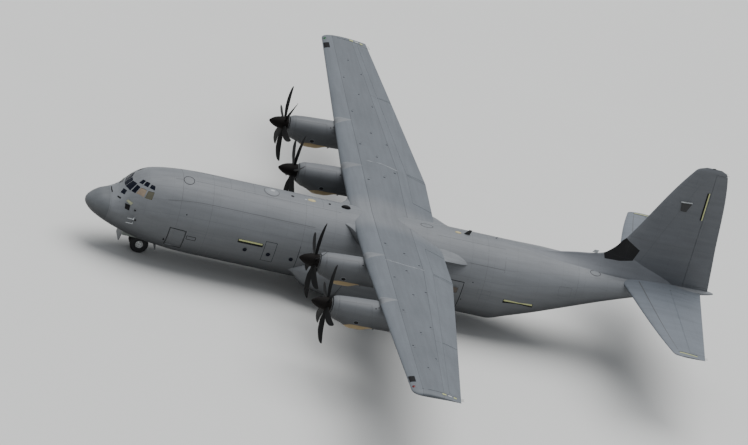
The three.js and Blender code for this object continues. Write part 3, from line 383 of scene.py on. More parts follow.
def prism(outline, axis, low, high):
    """An outline in the plane across an axis, carried from low to high along it."""
    outline = np.asarray(outline, float)
    return loft([np.insert(outline, axis, value, axis=1) for value in (low, high)])


def block(x0, x1, y0, y1, z0, z1):
    """A box between two corners."""
    return prism([(x0, y0), (x1, y0), (x1, y1), (x0, y1)], 2, z0, z1)


def soft_block(x0, x1, y0, y1, z0, z1, softness=0.3):
    """A box with round edges: middle + half-size·(c_v·c_u, c_v·s_u, s_v), each to a low power."""
    v = np.linspace(-np.pi / 2 + 0.06, np.pi / 2 - 0.06, 12)[:, None]
    u = circle(24)[None]
    around = power(np.cos(v), softness)
    unit = points_of(
        around * power(np.cos(u), softness), around * power(np.sin(u), softness), power(np.sin(v), softness)
    )
    low, high = np.array([x0, y0, z0]), np.array([x1, y1, z1])
    return loft((low + high) / 2 + unit * (high - low) / 2)


def tube(path, radii, sides=24):
    """A round skin about a path: each ring is p + r(u cos a + v sin a), with u and v across the path."""
    path = np.asarray(path, float)
    tangent = np.gradient(path, axis=0)
    tangent /= np.linalg.norm(tangent, axis=1, keepdims=True)
    u = np.cross(tangent, np.eye(3)[np.argmin(np.abs(tangent).sum(0))])
    u /= np.linalg.norm(u, axis=1, keepdims=True)
    u, v = u[:, None], np.cross(tangent, u)[:, None]
    a = circle(sides)[None, :, None]
    radii = np.broadcast_to(radii, len(path))[:, None, None]
    return loft(path[:, None] + radii * (u * np.cos(a) + v * np.sin(a)))


def turned(profile, centre, axis=1, sides=64, closed=True):
    """A profile of (radius, place along the axis) carried round an axis through a centre."""
    profile = np.asarray(profile, float)
    a = circle(sides)[:, None]
    across = [k for k in range(3) if k != axis]
    rings = np.zeros((len(profile), sides, 3))
    rings[..., axis] = profile[:, 1:]
    rings[..., across[0]] = (profile[:, 0] * np.cos(a)).T
    rings[..., across[1]] = (profile[:, 0] * np.sin(a)).T
    return loft(rings + np.asarray(centre), path_closed=closed)


def rounded(outline, radius):
    """An outline whose corners are quadratic curves between points a radius away along its two sides."""
    corner = np.asarray(outline, float)
    before, behind = np.roll(corner, 1, 0) - corner, np.roll(corner, -1, 0) - corner
    reach = lambda side: side * np.minimum(radius / np.linalg.norm(side, axis=1, keepdims=True), 0.49)
    t = np.linspace(0, 1, 5)[None, :, None]
    start, finish = (corner + reach(before))[:, None], (corner + reach(behind))[:, None]
    return ((1 - t) ** 2 * start + 2 * t * (1 - t) * corner[:, None] + t**2 * finish).reshape(-1, 2)


def plate(surface, outline, top, bottom=-0.004):
    """A plate that follows a surface: its outline, shrunk in steps to its middle, laid at two heights."""
    outline = np.asarray(outline, float)
    middle = outline.mean(0)
    shares = np.array([0.25, 0.5, 0.75, 1])[:, None, None]
    u, v = np.moveaxis(middle + (outline - middle) * shares, -1, 0)
    return loft(np.concatenate([surface(u, v, bottom), surface(u, v, top)[::-1]]))


def rim(surface, outline, width, top, bottom=-0.004):
    """A frame of even width inside an outline that follows a surface."""
    outline = np.asarray(outline, float)
    inward = outline.mean(0) - outline
    inner = outline + inward * width / np.linalg.norm(inward, axis=1, keepdims=True)
    edges = ((outline, bottom), (outline, top), (inner, top), (inner, bottom))
    return loft([surface(*edge.T, height) for edge, height in edges], path_closed=True)


def strip(surface, left, right, top, bottom=-0.004, across=3):
    """A strip that follows a surface between two edges, given as rows of points in its two places."""
    left, right = np.asarray(left, float), np.asarray(right, float)
    t = np.linspace(0, 1, across)[None, :, None]
    u, v = np.moveaxis(left[:, None] * (1 - t) + right[:, None] * t, -1, 0)
    return loft(np.concatenate([surface(u, v, top), surface(u, v, bottom)[:, ::-1]], axis=1))


def line(surface, path, width, top=0.003, bottom=-0.004):
    """A thin painted or sunk line that follows a surface along a path of its two places."""
    path = np.asarray(path, float)
    far = np.linalg.norm(np.diff(path, axis=0), axis=1)
    along = np.concatenate([[0], np.cumsum(far)])
    places = np.unique(np.concatenate([along, spread(0, along[-1], 0.15)]))
    points = np.stack([np.interp(places, along, path[:, k]) for k in (0, 1)], -1)
    tangent = np.gradient(points, places, axis=0)
    across = np.stack([-tangent[:, 1], tangent[:, 0]], -1)
    across *= width / 2 / np.maximum(np.linalg.norm(across, axis=1, keepdims=True), 1e-9)
    return strip(surface, points - across, points + across, top, bottom, 2)


def frame_line(surface, outline, width):
    """A line round a closed outline with square corners: each side reaches past its two corners."""
    outline = np.asarray(outline, float)
    sides = []
    for a, b in zip(outline, np.roll(outline, -1, 0)):
        reach = (b - a) / np.linalg.norm(b - a) * width / 2
        sides.append(line(surface, [a - reach, b + reach], width))
    return together(*sides)


def ellipse(centre, radii, steps=40):
    """An outline of points round an ellipse, from two radii or one."""
    a = circle(steps)
    return centre + np.broadcast_to(radii, 2) * np.stack([np.cos(a), np.sin(a)], -1)


def grown(outline, by):
    """An outline with every point moved away from its middle."""
    out = np.asarray(outline, float) - np.mean(outline, axis=0)
    return outline + out * by / np.linalg.norm(out, axis=1, keepdims=True)


def box_of(u0, u1, v0, v1):
    """The four corners of a rectangle."""
    return [(u0, v0), (u1, v0), (u1, v1), (u0, v1)]


def bent_box(surface, corners, top):
    """A patch between four corners, row by row along its length, that follows a surface."""
    a, b, c, d = np.asarray(corners, float)
    t = np.linspace(0, 1, 10)[:, None]
    return strip(surface, a + (b - a) * t, d + (c - d) * t, top, across=4)


def dot(surface, centre, radii, top, bottom=-0.004, steps=40):
    """A round spot on a surface."""
    return plate(surface, ellipse(centre, radii, steps), top, bottom)


def ring(surface, centre, radii, width, top, steps=40):
    """A round frame on a surface."""
    return rim(surface, ellipse(centre, radii, steps), width, top)


def patch(surface, ends, radius, top):
    """A rectangle with round corners on a surface, from its two places' low and high ends."""
    return plate(surface, rounded(box_of(*ends), radius), top)


def wick(foot, reach):
    """A thin wick that starts a little inside a trailing edge."""
    return tube([foot - (0.03, 0, 0), foot + reach], 0.006, 8)


def aerial(x, y, z, length, height, thick, rake=0.5, tip=0.5):
    """A blade aerial: lens-shaped sections that shrink to tip and rake back as they rise."""
    t = np.linspace(0, 1, 6)[:, None]
    a = circle(24)[None]
    chord = length * (1 - (1 - tip) * t)
    along = 0.5 * chord * np.cos(a) + rake * height * t
    across = 0.5 * thick * (1 - 0.5 * t) * np.sin(a) * np.abs(np.sin(a)) ** 0.4
    return loft(points_of(x + along, y + across, z + height * t))


def dome(surface, centre, radii, height):
    """A low smooth bump on a surface: height·√(1-r²) above it."""
    r = np.sin(np.linspace(0.06, np.pi / 2, 8))[::-1]
    a = circle(36)
    along, across = np.broadcast_to(radii, 2)
    u = centre[0] + along * r[:, None] * np.cos(a)
    v = centre[1] + across * r[:, None] * np.sin(a)
    rise = height * np.sqrt(np.maximum(0, 1 - r**2))[:, None]
    rings = surface(u, v, np.broadcast_to(rise, u.shape))
    base = surface(u[:1], v[:1], np.full((1, 36), -0.01))
    return loft(np.concatenate([base, rings]))


# Surfaces of the aircraft


def hull_at(x):
    """Crown, keel, half-width, waist, upper and lower power of the hull.

    They are smoothed over the root of x, in which a round nose is straight.
    """
    return np.moveaxis(smooth_rows(HULL, x, np.sqrt), -1, 0)


def on_hull(x, angle, grow=0.0):
    """The hull's skin, at an angle from the crown towards starboard.

    A ring is y = half-width·|sin a|^(2/p) and z = waist ± height·|cos a|^(2/p), with the signs of the sine
    and cosine, and with its own height and power p above and below the waist.
    """
    x, angle, grow = np.broadcast_arrays(np.asarray(x, float), angle, grow)
    crown, keel, half, waist, upper, lower = hull_at(x)
    s, c = np.sin(angle), np.cos(angle)
    exponent = 2 / np.where(c >= 0, upper, lower)
    height = np.where(c >= 0, crown - waist, waist - keel) + grow
    return np.stack([x, (half + grow) * power(s, exponent), waist + height * power(c, exponent)], -1)


def hull_side(side):
    """The hull's skin on one side, as a surface of x and height."""

    def surface(x, z, grow=0.0):
        crown, keel, _, waist, upper, lower = hull_at(x)
        above = z >= waist
        share = np.clip((z - waist) / np.where(above, crown - waist, waist - keel), -1, 1)
        return on_hull(x, side * np.arccos(power(share, np.where(above, upper, lower) / 2)), grow)

    return surface


def hull_top(x, y, grow=0.0):
    """The hull's skin seen from above, as a surface of x and y."""
    _, _, half, _, upper, _ = hull_at(x)
    return on_hull(x, np.arcsin(power(np.clip(y / half, -1, 1), upper / 2)), grow)


def hull_bottom(x, y, grow=0.0):
    """The hull's skin seen from below, as a surface of x and y."""
    _, _, half, _, _, lower = hull_at(x)
    return on_hull(x, np.pi - np.arcsin(power(np.clip(y / half, -1, 1), lower / 2)), grow)


def wing_at(y):
    """Leading edge, chord, thickness share, incidence and height of the wing at a distance out."""
    y = np.abs(np.asarray(y, float))
    t = np.maximum(0, (y - WING_BREAK) / (SPAN / 2 - WING_BREAK))
    out = y / (SPAN / 2)
    leading = WING_LEADING + (TIP_LEADING - WING_LEADING) * t
    chord = ROOT_CHORD + (TIP_CHORD - ROOT_CHORD) * t
    thickness = ROOT_THICKNESS + (TIP_THICKNESS - ROOT_THICKNESS) * out
    return leading, chord, thickness, ROOT_INCIDENCE * (1 - out), WING_HEIGHT + y * np.tan(DIHEDRAL)


def half_thickness(share, thickness):
    """Half an aerofoil's thickness: 5t(0.2969√s - 0.126s - 0.3516s² + 0.2843s³ - 0.1015s⁴), edge blunt."""
    s = np.clip(share, 0, 1)
    curve = 0.2969 * np.sqrt(s) - 0.126 * s - 0.3516 * s**2 + 0.2843 * s**3 - 0.1015 * s**4
    return 5 * thickness * curve + 0.0015 * s


def on_wing(y, share, face, grow=0.0, nose_cut=0.0, thin=1.0):
    """The wing's skin at a distance out and a share of the chord: face is 1 above, -1 below, 0 between.

    A point lies on the mean line, a parabola of 4·camber·s(1-s), plus half the thickness, and the whole
    section is turned by the incidence about 40 % of the chord.
    """
    leading, chord, thickness, incidence, height = wing_at(y)
    length = chord - nose_cut
    along = (share - 0.4) * length + 0.6 * nose_cut
    half = half_thickness(share, thickness * thin) * length + grow
    rise = CAMBER * 4 * share * (1 - share) * length + face * half
    x = leading + 0.4 * chord + along * np.cos(incidence) + rise * np.sin(incidence)
    z = height - along * np.sin(incidence) + rise * np.cos(incidence)
    return points_of(x, y, z)


def wing_skin(face):
    """One face of the wing, as a surface of the distance out and the share of the chord."""
    return lambda y, share, grow=0.0: on_wing(y, share, face, grow)


def section_shares():
    """Shares of the chord from the trailing edge over the top and back below, and their faces."""
    i = np.arange(-40, 41)
    return 0.5 * (1 - np.cos(np.pi * np.abs(i) / 40)), -np.sign(i)


def half_at(table, place, x):
    """Half the thickness of a tail surface, at a place along it."""
    leading, trailing, thickness = columns(table, place)
    chord = trailing - leading
    return half_thickness((x - leading) / chord, thickness) * chord


def on_stab(y, share, face, grow=0.0):
    """The tailplane's skin at a distance out and a share of the chord."""
    leading, trailing, thickness = columns(STAB, np.abs(y))
    chord = trailing - leading
    z = STAB_HEIGHT + face * (half_thickness(share, thickness) * chord + grow)
    return points_of(leading + share * chord, y, z)


def on_fin(z, share, face, grow=0.0):
    """The fin's skin at a height and a share of the chord: face is 1 to starboard, -1 to port."""
    leading, trailing, thickness = columns(FIN, z)
    chord = trailing - leading
    y = face * (half_thickness(share, thickness) * chord + grow)
    return points_of(leading + share * chord, y, z)


def fin_side(face):
    """The fin's skin on one side, as a surface of x and height."""

    def surface(x, z, grow=0.0):
        leading, trailing, _ = columns(FIN, z)
        return on_fin(z, (x - leading) / (trailing - leading), face, grow)

    return surface


def stab_top(y, share, grow=0.0):
    """The tailplane's upper skin, as a surface of the distance out and the share of the chord."""
    return on_stab(y, share, 1, grow)


def on_dorsal(x, q, grow=0.0):
    """The fillet ahead of the fin: q is -1 to 1 over its ridge, and past that its edge sinks into the hull.

    With t = |q|, its half-width is a round ridge, plus sides·t^0.8, plus foot·t^1.5.
    """
    ridge, foot, edge, sides, spread_out = columns(DORSAL, x)
    t = np.minimum(np.abs(q), 1)
    width = edge * np.sqrt(np.minimum(t / 0.06, 1)) + sides * t**0.8 + spread_out * t**1.5 + grow
    z = foot + (ridge + grow - foot) * (1 - t) - 2 * (np.abs(q) - t)
    return points_of(x, np.sign(q) * width, z)


def on_nacelle(engine, x, angle, grow=0.0):
    """A nacelle's skin, at an angle from its top: half superellipses above and below its axis."""
    side, out, axis, _ = ENGINES[engine]
    x, angle = np.broadcast_arrays(np.asarray(x, float), angle)
    half, up, down, exponent = columns(NACELLE, x)
    s, c = np.sin(angle), np.cos(angle)
    y = side * out + (half + grow) * power(s, 2 / exponent)
    z = axis + (np.where(c > 0, up, down) + grow) * power(c, 2 / exponent)
    return points_of(x, y, z)


# Meshes and pieces


def mesh_of(parts):
    """A mesh of (skin, name of its finish) parts, placed in the model."""
    points, quads, tris = together(*(part[0] for part in parts))
    corners = np.concatenate([quads.ravel(), tris.ravel()])
    sizes = np.concatenate([np.full(len(quads), 4), np.full(len(tris), 3)])
    mesh = bpy.data.meshes.new("parts")
    mesh.vertices.add(len(points))
    mesh.vertices.foreach_set("co", in_model(points).astype(np.float32).ravel())
    mesh.loops.add(len(corners))
    mesh.loops.foreach_set("vertex_index", corners.astype(np.int32))
    mesh.polygons.add(len(sizes))
    mesh.polygons.foreach_set("loop_start", (np.cumsum(sizes) - sizes).astype(np.int32))
    paints = list(dict.fromkeys(part[1] for part in parts))
    slots = [paints.index(part[1]) for part in parts]
    index = [np.repeat(slots, [len(part[0][kind]) for part in parts]) for kind in (1, 2)]
    mesh.polygons.foreach_set("material_index", np.concatenate(index).astype(np.int32))
    mesh.update(calc_edges=True)
    for paint in paints:
        mesh.materials.append(finish_of(paint))
    return mesh


def painted(look, *skins):
    """Parts that share a finish."""
    return [(skin, look) for skin in skins]


def mark(mesh, **values):
    """Stores values at every point, each worked out from the points' full-size places."""
    places = np.empty(len(mesh.vertices) * 3, np.float32)
    mesh.vertices.foreach_get("co", places)
    full = places.reshape(-1, 3) / MODEL_SCALE + (LENGTH / 2, 0, 0)
    for name, value in values.items():
        layer = mesh.attributes.new(name, "FLOAT", "POINT")
        layer.data.foreach_set("value", np.broadcast_to(value(full), len(full)).astype(np.float32))
    return mesh


def hull_turn(places):
    """The angle from the crown, either way round, of places on the hull, as a length round a 2 m circle."""
    waist = hull_at(places[:, 0])[3]
    return 2.0 * np.arctan2(np.abs(places[:, 1]), places[:, 2] - waist)


def wing_share(places):
    """The share of the wing's chord at which a place lies."""
    leading, chord, _, _, _ = wing_at(places[:, 1])
    return (places[:, 0] - leading) / chord


def shown(name, mesh):
    """A mesh's object, in the scene."""
    obj = bpy.data.objects.new(name, mesh)
    bpy.context.scene.collection.objects.link(obj)
    return obj


def cut(shape, paint="inside_green"):
    """A Boolean step that takes a shape away."""
    return "DIFFERENCE", shape, paint


def keep(shape, paint="inside_green"):
    """A Boolean step that keeps only what lies in a shape."""
    return "INTERSECT", shape, paint


def join(shape, paint="inside_green"):
    """A Boolean step that adds a shape."""
    return "UNION", shape, paint


def carved(name, skin, paint, steps):
    """The mesh left after Boolean steps, each (operation, skin or mesh, finish of the faces it leaves)."""
    solid = lambda shape, look: shape if isinstance(shape, bpy.types.Mesh) else mesh_of([(shape, look)])
    base = shown(name, solid(skin, paint))
    tools = []
    for operation, other, look in steps:
        tools.append(shown(name + "_tool", solid(other, look)))
        step = base.modifiers.new(operation, "BOOLEAN")
        step.operation, step.solver, step.material_mode = operation, "MANIFOLD", "TRANSFER"
        step.object = tools[-1]
    depsgraph = bpy.context.evaluated_depsgraph_get()
    mesh = bpy.data.meshes.new_from_object(base.evaluated_get(depsgraph), depsgraph=depsgraph)
    for obj in [base, *tools]:
        bpy.data.objects.remove(obj)
    if not mesh.polygons:
        raise RuntimeError(f"nothing is left of {name} after its Boolean steps")
    return mesh


def piece(name, shape, stands_for=(), body="airframe"):
    """A finished piece, of a mesh or of parts: smooth but for sharp edges, and riding on a body."""
    mesh = shape if isinstance(shape, bpy.types.Mesh) else mesh_of(shape)
    obj = shown(name, mesh)
    mesh.name = name
    mesh.shade_smooth()
    mesh.set_sharp_from_angle(angle=CREASE)
    # how far each corner faces up, from which the paints take their painted shade
    normals = np.empty(len(mesh.loops) * 3, np.float32)
    mesh.corner_normals.foreach_get("vector", normals)
    mesh.attributes.new("facing", "FLOAT", "CORNER").data.foreach_set("value", normals[2::3].copy())
    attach(obj, body)
    if stands_for:
        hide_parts(*stands_for)


def hull_piece(name, mesh, stands_for=(), body="airframe"):
    """A piece of the fuselage's skin, with the value that its laps follow."""
    piece(name, mark(mesh, turn=hull_turn), stands_for, body)


# Materials


class Finish:
    """A material being wired: its nodes, and its shader with values set on its own sockets."""

    def __init__(self, name, roughness, metallic=0.0, shine=0.5):
        self.material = bpy.data.materials.new(name)
        self.material.use_nodes = True
        self.tree = self.material.node_tree
        self.shader = self.tree.nodes["Principled BSDF"]
        self.shader.inputs["Roughness"].default_value = roughness
        self.shader.inputs["Metallic"].default_value = metallic
        self.shader.inputs["Specular IOR Level"].default_value = shine
        self.place = self.node("ShaderNodeTexCoord").outputs["Object"]

    def node(self, kind, inputs=None, **settings):
        """A node with its settings, and its inputs linked or given values."""
        node = self.tree.nodes.new(kind)
        for key, value in settings.items():
            setattr(node, key, value)
        for key, value in (inputs or {}).items():
            if isinstance(value, bpy.types.NodeSocket):
                self.tree.links.new(value, node.inputs[key])
            else:
                node.inputs[key].default_value = value
        return node

    def noise(self, scale, detail=4.0, stretch=(1, 1, 1)):
        """Cloudy noise, squeezed along each axis by stretch."""
        place = self.node("ShaderNodeMapping", {"Vector": self.place, "Scale": stretch}).outputs["Vector"]
        inputs = {"Vector": place, "Scale": scale, "Detail": detail, "Roughness": 0.55}
        return self.node("ShaderNodeTexNoise", inputs).outputs["Fac"]

    def math(self, operation, a, b=0.0, c=0.0):
        """One step of arithmetic on sockets or numbers."""
        return self.node("ShaderNodeMath", {0: a, 1: b, 2: c}, operation=operation).outputs[0]

    def attribute(self, name):
        """A value stored at the mesh's points."""
        return self.node("ShaderNodeAttribute", attribute_name=name).outputs["Fac"]

    def part(self, axis):
        """One coordinate of the place on the object."""
        return self.node("ShaderNodeSeparateXYZ", {"Vector": self.place}).outputs[axis]

    def ramp(self, value, stops):
        """A colour ramp through (position, colour or grey level) stops."""
        node = self.node("ShaderNodeValToRGB", {"Fac": value})
        elements = node.color_ramp.elements
        while len(elements) < len(stops):
            elements.new(0.5)
        for element, (position, colour) in zip(elements, stops):
            element.position = position
            element.color = (*colour, 1) if isinstance(colour, tuple) else (colour, colour, colour, 1)
        return node.outputs["Color"]

    def mix(self, share, a, b, blend="MIX"):
        """Two colours mixed by a share."""
        paint = lambda c: c if isinstance(c, bpy.types.NodeSocket) else (*c, 1)
        inputs = {0: share, 6: paint(a), 7: paint(b)}
        return self.node("ShaderNodeMix", inputs, data_type="RGBA", blend_type=blend).outputs[2]

    def times(self, a, b):
        """One colour times another."""
        return self.mix(1.0, a, b, "MULTIPLY")

    def lines(self, value, spacing, width, offset=0.0):
        """Dark lines at even steps of a value: 1 in the line, 0 elsewhere."""
        turns = self.math("FRACT", self.math("ADD", self.math("DIVIDE", value, spacing), offset))
        near = self.math("MINIMUM", turns, self.math("SUBTRACT", 1.0, turns))
        return self.math("LESS_THAN", near, width / spacing / 2)

    def wire(self, name, socket):
        """Feeds one of the shader's inputs."""
        self.tree.links.new(socket, self.shader.inputs[name])

    def bump(self, height, strength, distance=0.01):
        """Roughens the surface by a height."""
        node = self.node("ShaderNodeBump", {"Height": height, "Strength": strength, "Distance": distance})
        self.wire("Normal", node.outputs["Normal"])


def shade(colour, factor):
    """A colour made lighter or darker."""
    return tuple(min(1.0, c * factor) for c in colour)


def aircraft_paint(name, colour, roughness=0.5, streaks=(0.2, 2.2, 2.2)):
    """Matt aircraft paint: soft clouds, streaks along the airflow, faint stains and orange peel.

    Painted shade darkens it where it faces sideways, and more where it faces down.
    """
    finish = Finish(name, roughness, shine=0.3)
    clouds = finish.ramp(finish.noise(0.7, 5), [(0.3, 0.93), (0.7, 1.06)])
    streak = finish.ramp(finish.noise(3.4, 6, streaks), [(0.35, 0.93), (0.62, 1.04)])
    speck = finish.ramp(finish.noise(30, 3), [(0.28, 0.9), (0.42, 1.0)])
    tone = finish.times(colour, clouds)
    for layer in (streak, speck):
        tone = finish.times(tone, layer)
    # painted shade: the tone falls as the surface turns away from facing straight up
    facing = finish.math("MULTIPLY_ADD", finish.attribute("facing"), 0.5, 0.5)
    painted_shade = finish.ramp(facing, [(0.05, 0.2), (0.25, 0.33), (0.45, 0.62), (0.62, 0.9), (0.8, 1.0)])
    tone = finish.times(tone, painted_shade)
    return finish, tone, colour, roughness


def finished_paint(finish, tone, colour, roughness, joints=()):
    """The paint with its panel joints: each is (value, spacing, width, offset, depth of its shade)."""
    sunk = 0.0
    for value, spacing, width, offset, depth in joints:
        found = finish.lines(value, spacing, width, offset)
        tone = finish.mix(finish.math("MULTIPLY", found, depth), tone, shade(colour, 0.35))
        sunk = finish.math("MAXIMUM", sunk, found)
    finish.wire("Base Color", tone)
    finish.wire("Roughness", finish.math("MULTIPLY_ADD", finish.noise(6, 3), 0.16, roughness - 0.06))
    grain = finish.math("MULTIPLY", finish.noise(55, 2), 0.15)
    finish.bump(finish.math("SUBTRACT", grain, sunk), 0.25, 0.002)
    return finish.material


def hull_finish(colour):
    """The fuselage: frames every 1.27 m, longer joints round it, and laps along it."""
    made = aircraft_paint("hull_paint", colour)
    finish = made[0]
    turn = finish.attribute("turn")
    along = finish.part("X")
    frames, longer, laps = (0.635, 0.006, 0.3, 0.22), (2.54, 0.009, 0.15, 0.45), (0.71, 0.014, 0.5, 0.3)
    return finished_paint(*made, [(along, *frames), (along, *longer), (turn, *laps)])


def wing_finish(colour, hull):
    """The wing: a lighter leading edge, joints along both spars, ribs, and the hull's paint at the root."""
    made = aircraft_paint("wing_paint", colour, streaks=(2.4, 0.25, 2.4))
    finish, tone = made[:2]
    root = finish.ramp(finish.math("ABSOLUTE", finish.part("Y")), [(0.5, 0.85), (1.0, 0.0)])
    towards = tuple(h / c for h, c in zip(hull, colour))
    tone = finish.mix(root, tone, finish.times(tone, towards))
    share = finish.attribute("share")
    front = [(0.0, 1.1), (FRONT_SPAR - 0.004, 1.07), (FRONT_SPAR, 0.94)]
    rear = [(REAR_SPAR, 0.95), (REAR_SPAR + 0.004, 1.03), (1.0, 1.0)]
    tone = finish.times(tone, finish.ramp(share, front + rear))
    near = lambda place: finish.math("COMPARE", share, place, 0.0028)
    spars = finish.math("MAXIMUM", near(FRONT_SPAR), near(REAR_SPAR))
    tone = finish.mix(finish.math("MULTIPLY", spars, 0.75), tone, shade(colour, 0.3))
    across = finish.part("Y")
    joints = [(across, 0.9, 0.006, 0.35, 0.2), (share, 0.1075, 0.0016, 0.47, 0.16)]
    return finished_paint(finish, tone, *made[2:], joints)


def nacelle_finish(colour, tan):
    """A nacelle: grey, with a tan oil cooler bulge below that fades into the grey through blotches."""
    made = aircraft_paint("nacelle_paint", colour)
    finish, tone = made[:2]
    low = finish.attribute("low")
    edge = finish.math("ADD", low, finish.math("MULTIPLY", finish.noise(5, 3), 0.08))
    tone = finish.mix(finish.ramp(edge, [(0.77, 0.0), (0.8, 1.0)]), tone, tan)
    return finished_paint(finish, tone, *made[2:], [(finish.part("X"), 0.42, 0.005, 0.1, 0.35)])


def fin_finish(colour):
    """The fin's paint, black in a patch at its foot: where a place is inside of all the patch's edges."""
    made = aircraft_paint("fin_paint", colour)
    finish, tone = made[:2]
    corners = in_model([(x, 0, z) for x, z in FIN_PATCH])[:, [0, 2]]
    middle = corners.mean(0)
    outside = -1.0
    for a, b in zip(corners, np.roll(corners, -1, 0)):
        across = np.array([a[1] - b[1], b[0] - a[0]])
        across *= np.sign(across @ (a - middle))
        level = finish.math("MULTIPLY_ADD", finish.part("X"), across[0], -float(across @ a))
        level = finish.math("MULTIPLY_ADD", finish.part("Z"), across[1], level)
        outside = finish.math("MAXIMUM", outside, level)
    tone = finish.mix(finish.math("LESS_THAN", outside, 0.0), tone, (0.008, 0.008, 0.009))
    joints = [(finish.part(axis), 0.6, 0.005, 0.2, 0.3) for axis in "ZX"]
    return finished_paint(finish, tone, *made[2:], joints)


def plain_paint(name, colour, joints):
    """Aircraft paint with joints every 0.6 m along each of the named axes."""
    made = aircraft_paint(name, colour)
    return finished_paint(*made, [(made[0].part(axis), 0.6, 0.005, 0.2, 0.3) for axis in joints])


def plain_finish(name, colour, roughness, metallic=0, grain=40, strength=0.1, shine=0.5):
    """A finish of one colour broken up by a fine grain in its tone, roughness and height."""
    finish = Finish(name, roughness, metallic, shine)
    noise = finish.noise(grain, 5)
    finish.wire("Base Color", finish.ramp(noise, [(0.3, shade(colour, 0.8)), (0.7, shade(colour, 1.15))]))
    finish.wire("Roughness", finish.math("MULTIPLY_ADD", noise, 0.2, roughness - 0.1))
    finish.bump(noise, strength, 0.002)
    return finish.material


PLAIN_FINISHES = {
    # colour, roughness, and where they differ: metallic, the grain's scale and strength, shine
    "blade_black": ((0.007, 0.007, 0.007), 0.6, 0, 40, 0.1, 0.2),
    "line_black": ((0.006, 0.006, 0.007), 0.6, 0, 40, 0.1, 0.2),
    "line_grey": ((0.09, 0.095, 0.1), 0.6),
    "pale_grey": ((0.42, 0.44, 0.45), 0.5, 0, 12),
    "panel_black": ((0.02, 0.021, 0.022), 0.5, 0, 60),
    # near-black walls of openings and joins: painted shade
    "dark_trim": ((0.018, 0.018, 0.02), 0.6),
    "spinner_brown": ((0.009, 0.0075, 0.007), 0.7, 0, 40, 0.1, 0.1),
    "seal_tan": ((0.5, 0.42, 0.2), 0.5, 0, 12),
    "strip_yellow": ((0.52, 0.54, 0.24), 0.45, 0, 20),
    "lip_yellow": ((0.36, 0.37, 0.24), 0.5, 0, 20),
    "glass": ((0.005, 0.007, 0.015), 0.2, 0, 3, 0.0, 0.1),
    # the tan and olive glass are painted reflections
    "glass_tan": ((0.3, 0.235, 0.17), 0.12, 0, 3, 0.0),
    "glass_brown": ((0.06, 0.042, 0.028), 0.15, 0, 3, 0.0),
    "glass_olive": ((0.105, 0.1, 0.07), 0.12, 0, 3, 0.0),
    "lamp_red": ((0.13, 0.012, 0.012), 0.15, 0, 6),
    "lamp_green": ((0.012, 0.1, 0.035), 0.15, 0, 6),
    "lamp_clear": ((0.75, 0.77, 0.78), 0.1, 0, 6),
    "seat_cloth": ((0.05, 0.06, 0.045), 0.9, 0, 120, 0.4),
    "inside_green": ((0.19, 0.21, 0.19), 0.7),
    "gear_white": ((0.62, 0.63, 0.62), 0.4),
    "bright_metal": ((0.7, 0.7, 0.7), 0.22, 1),
    "exhaust_steel": ((0.16, 0.13, 0.11), 0.4, 0.8, 25),
    "floor_metal": ((0.2, 0.21, 0.22), 0.7, 0, 60),
    "rubber": ((0.02, 0.02, 0.021), 0.85, 0, 90, 0.3),
}
PAINTS = {
    # made from the colours that can be set
    "hull_paint": lambda look: hull_finish(tuple(look.hull)),
    "wing_paint": lambda look: wing_finish(tuple(look.wing), tuple(look.hull)),
    "stab_paint": lambda look: plain_paint("stab_paint", tuple(look.stab), "YX"),
    "fin_paint": lambda look: fin_finish(tuple(look.fin)),
    "nacelle_paint": lambda look: nacelle_finish(shade(look.hull, 0.8), tuple(look.tan)),
    "panel_paint": lambda look: plain_paint("panel_paint", shade(look.hull, 1.25), "X"),
    "radome_plastic": lambda look: plain_paint("radome_plastic", tuple(look.radome), ""),
    "floor": lambda look: floor_finish(tuple(bpy.context.scene.plane_stage.floor)),
}
MATERIALS = {}


def floor_finish(colour):
    """The floor, a little cloudy."""
    finish = Finish("floor", 0.9)
    finish.wire("Base Color", finish.ramp(finish.noise(0.2, 3), [(0.3, shade(colour, 0.985)), (0.7, colour)]))
    return finish.material


def finish_of(name):
    """One of the finishes, made when it is first asked for."""
    if name not in MATERIALS:
        look = bpy.context.scene.plane_paint
        plain = PLAIN_FINISHES.get(name)
        MATERIALS[name] = plain_finish(name, *plain) if plain else PAINTS[name](look)
    return MATERIALS[name]


# Hull shapes


def hull_solid(x0, x1, grow=0.0):
    """A length of the hull filled in, its rings closer together towards the nose."""
    root = np.sqrt(spread(x0, x1, 0.16)) if x0 > 0.5 else spread(0.002**0.5, x1**0.5, 0.03)
    return loft(on_hull(root[:, None] ** 2, circle(120, 0.5)[None], grow))


def door_cut(door, side, ease):
    """What a door's opening takes out of the hull: its outline with round corners, carried sideways."""
    x0, x1, z0, z1 = door
    outline = rounded(box_of(x0 - ease, x1 + ease, z0 - ease, z1 + ease), 0.09)
    return prism(outline, 1, *sorted((side * 1.45, side * 2.4)))


def ramp_face(z):
    """Where the ramp's aft face lies at a height: it leans forward as it rises."""
    return RAMP_END - RAMP_FACE_LEAN * (z - RAMP_END_HEIGHT)


def ramp_block(ease):
    """The block that holds the ramp, its faces moved out by ease."""
    corners = [
        (RAMP_HINGE - ease, 0),
        (ramp_face(0) + ease, 0),
        (ramp_face(2.4 + ease) + ease, 2.4 + ease),
        (RAMP_HINGE - ease, 1.24 + ease),
    ]
    return prism(corners, 1, -1.48 - ease, 1.48 + ease)


def cargo_door_block(ease, lean=0.0):
    """The block that holds the cargo door, narrower aft: its aft face leans forward above the hinges."""
    front = lambda z: ramp_face(z) + 2 * RUNNING_GAP - ease
    end, roof = CARGO_DOOR_END + ease, 4.2
    wide, narrow = 1.4 + ease, 0.64 + ease
    ring = lambda side: [
        (front(0), side * wide, 0),
        (end, side * narrow, 0),
        (end, side * narrow, CARGO_DOOR_HINGE),
        (end - (roof - CARGO_DOOR_HINGE) * np.tan(lean), side * narrow, roof),
        (front(3.0), side * wide, 3.0),
    ]
    return loft([ring(PORT), ring(STARBOARD)])


